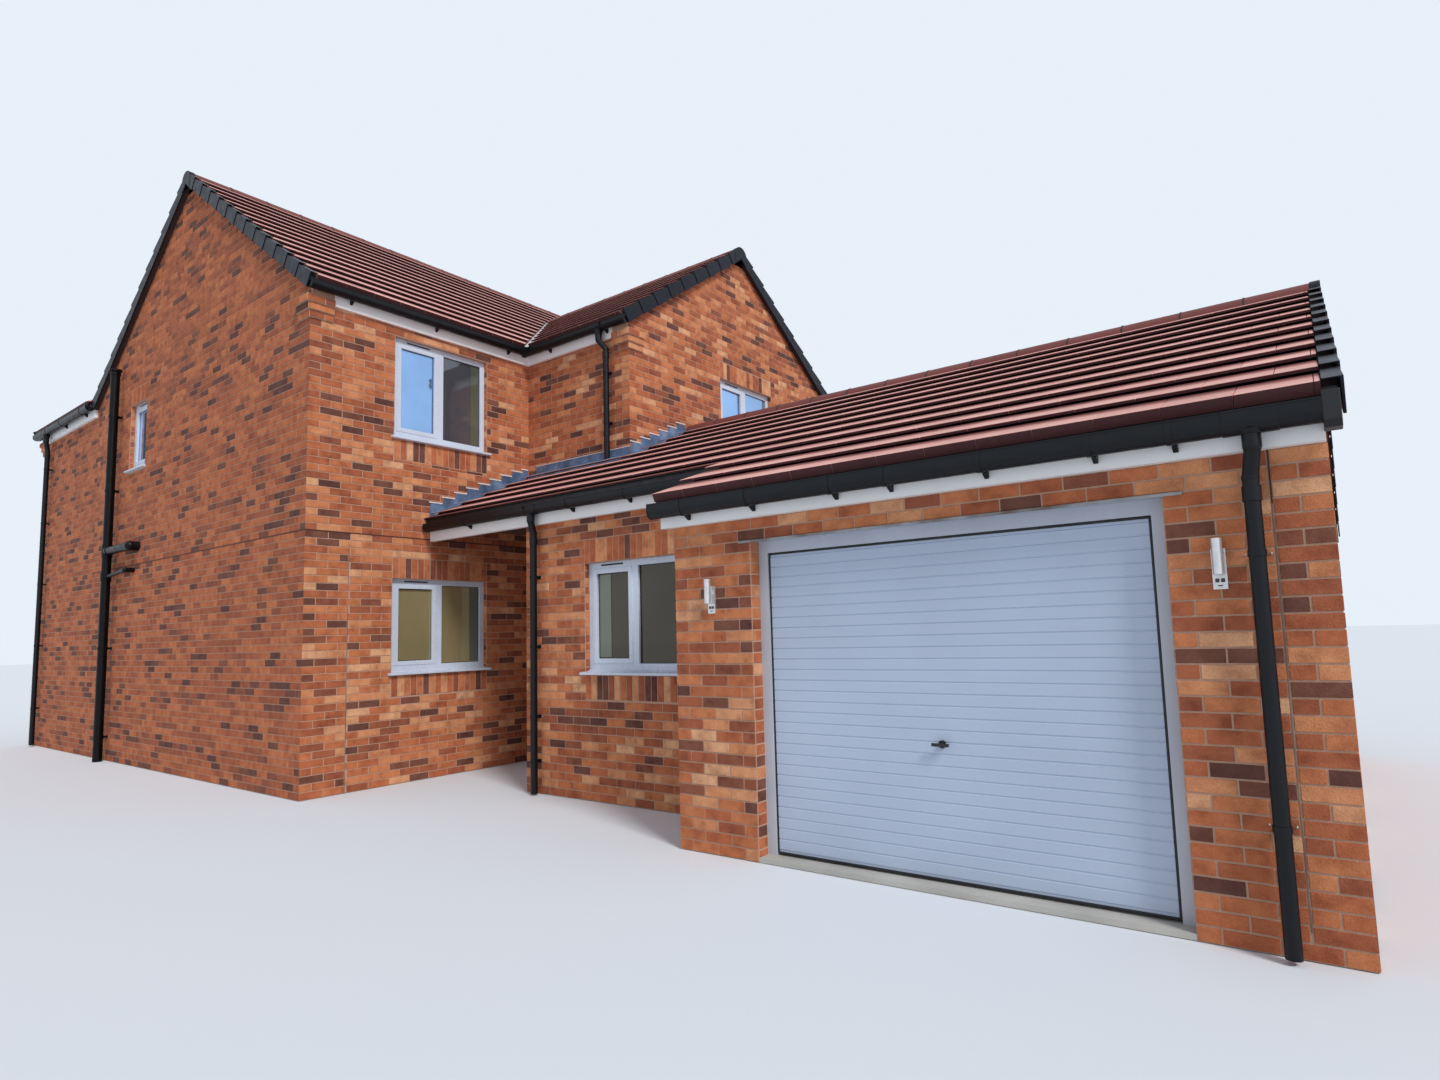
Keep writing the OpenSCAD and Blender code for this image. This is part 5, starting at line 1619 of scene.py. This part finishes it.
# Painted glass colours: sky reflected in the opening upper lights and the cross gable's window, the shade
# of dark rooms in the fixed upper lights, the lit room and its reflections in the lower lights, and the
# dim hall in the hall lights.
sash_glass_painted_sky = glass_material("sash_glass_painted_sky", srgb(150, 192, 240), 0.8, 0.05)
fixed_glass_painted_shade = glass_material("fixed_glass_painted_shade", srgb(96, 98, 104), 0.45, 0.04)
lower_painted_room = glass_material("lower_glass_painted_room", srgb(166, 154, 112), 0.4, 0.05)
hall_painted_room = glass_material("hall_glass_painted_room", srgb(62, 54, 36), 0.3, 0.05, coat=0.3)
band_glass_painted_wall = glass_material("band_glass_painted_wall", srgb(98, 104, 88), 0.3, 0.06)
gasket_black = trim_material("gasket_black", srgb(26, 26, 30), 0.5, 0.7)
for name, bm, finish, slot, stands_for in (
    ("upper_sash_panes", sash_panes, sash_glass_painted_sky, "window_glass", "upper_glass"),
    ("upper_fixed_panes", fixed_panes, fixed_glass_painted_shade, "window_glass", "upper_glass"),
    ("lower_panes", lower_panes, lower_painted_room, "window_glass", "lower_glass"),
    ("hall_panes", hall_panes, hall_painted_room, "window_glass", "lower_glass"),
    ("wall_bands_in_glass", wall_bands, band_glass_painted_wall, "window_glass", None),
    ("window_gaskets", gaskets, gasket_black, "black_trim", None),
    ("trickle_vents", vents, gasket_black, "window_frames", None),
):
    add_piece(name, bm, finish, stands_for)

# Front door. A white moulded door with a long bar handle stands deep in the porch, hung in a
# slim frame behind the brick reveals of the entrance wall.

door_white = surface(
    "door_white", srgb(222, 224, 228), 0.35, tint=(3, 0.9, 1.03), bump=(120, 0.1, 0.0008),
)
softened_copy("front_door", "front_door_skin", door_white)

# Garage door. A pressed steel leaf with level ribs, painted blue-grey, hangs in a painted
# steel frame; its rollers run back in galvanised channels under the roof.

door_blue = surface(
    "garage_door_blue", srgb(182, 194, 214), 0.42, tint=(1.5, 0.94, 1.03), rough=(6, 0.36, 0.5),
    bump=(300, 0.12, 0.0006),
)
frame_blue = surface(
    "door_frame_blue", srgb(192, 196, 206), 0.4, tint=(2, 0.92, 1.04), bump=(260, 0.1, 0.0006),
)
galvanised = surface(
    "galvanised_steel", srgb(168, 172, 176), 0.4, tint=(28, 0.8, 1.1), rough=(18, 0.3, 0.55),
    bump=(90, 0.1, 0.0008), metallic=0.8,
)
lintel_grey = surface(
    "lintel_paint", srgb(176, 186, 202), 0.45, tint=(4, 0.85, 1.05), bump=(160, 0.1, 0.0006),
)
for node, finish in (
    ("garage_door_leaf", door_blue),
    ("garage_door_frame", frame_blue),
    ("garage_lintel", lintel_grey),
    ("door_tracks", galvanised),
    ("door_carriage", galvanised),
    ("door_handle", trim_material("handle_black", srgb(24, 25, 30), 0.25, 0.4)),
):
    finish_node(node, finish)

# Door seals and lintel. Black rubber strips edge the leaf in its frame and move with it; they
# are wide enough to stand also as painted shade in the gap round the leaf. The weathered steel
# lip of the lintel that carries the bricks shows as a thin line.

leaf_low, leaf_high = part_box("garage_door_leaf")
strip_out, strip_in = 0.005, 0.007
inner_left, inner_right = leaf_low.x + strip_in, leaf_high.x - strip_in
seal_top = leaf_high.z + strip_out
# The black strips are rubber seals and painted shade of the gap at once.
seals = bmesh.new()
for left, right, low, high in (
    (leaf_low.x - strip_out, inner_left, leaf_low.z, seal_top),
    (inner_right, leaf_high.x + strip_out, leaf_low.z, seal_top),
    (inner_left, inner_right, leaf_high.z - strip_in, seal_top),
    (inner_left, inner_right, leaf_low.z - 0.003, leaf_low.z + 0.009),
):
    strip = level_bar(left, right, low, high, 0.006)
    append_shape(seals, strip, shift(0, leaf_low.y + 0.003, 0))
add_piece("leaf_seals_and_gap_shade", seals, gasket_black, body="garage_leaf")
lintel_lip = level_bar(door_left - 0.09, door_right + 0.09, door_head - 0.014, door_head + 0.003, 0.013)
lintel_lip.transform(shift(0, garage_front, 0))
lip_steel = surface(
    "lintel_lip_steel", srgb(176, 172, 170), 0.5, rough=(14, 0.35, 0.6),
    ramp=(6, [(0.0, srgb(104, 84, 72)), (0.4, srgb(132, 126, 124)), (1.0, srgb(168, 166, 168))]),
)
add_piece("lintel_lip", lintel_lip, lip_steel)

# Wall lights. Brushed steel cylinders that shine up and down stand off small plates, each
# with two small dark lenses side by side low on its plate.

finish_node("wall_lights", surface(
    "brushed_steel", srgb(222, 220, 220), 0.35, tint=(40, 0.88, 1.04), rough=(60, 0.25, 0.45),
    metallic=0.7,
))
lamp_low, lamp_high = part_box("wall_lights")
lenses = bmesh.new()
for middle in (lamp_low.x + 0.03, lamp_high.x - 0.03):
    for left, right, low, high in (
        (-0.02, -0.003, 0.032, 0.05),
        (0.003, 0.02, 0.032, 0.05),
        (-0.01, 0.01, 0.014, 0.019),
    ):
        lens = level_bar(middle + left, middle + right, lamp_low.z + low, lamp_low.z + high, 0.003)
        append_shape(lenses, lens, shift(0, garage_front - 0.014, 0))
lens_dark = surface("lamp_lens", srgb(52, 50, 54), 0.2, tint=(30, 0.8, 1.1))
add_piece("lamp_lenses", lenses, lens_dark)

# Floors. Power-floated screed lies at the ground and in the garage, and chipboard deck
# carries the upper storey.

screed_grey = surface("screed", srgb(186, 182, 174), 0.8, tint=(3, 0.85, 1.08), bump=(80, 0.2, 0.001))
finish_node("ground_floor", screed_grey)
finish_node("garage_floor", screed_grey)
finish_node("upper_floor", surface(
    "floor_boards", srgb(184, 154, 112), 0.7, tint=(40, 0.8, 1.1), bump=(120, 0.2, 0.001),
))
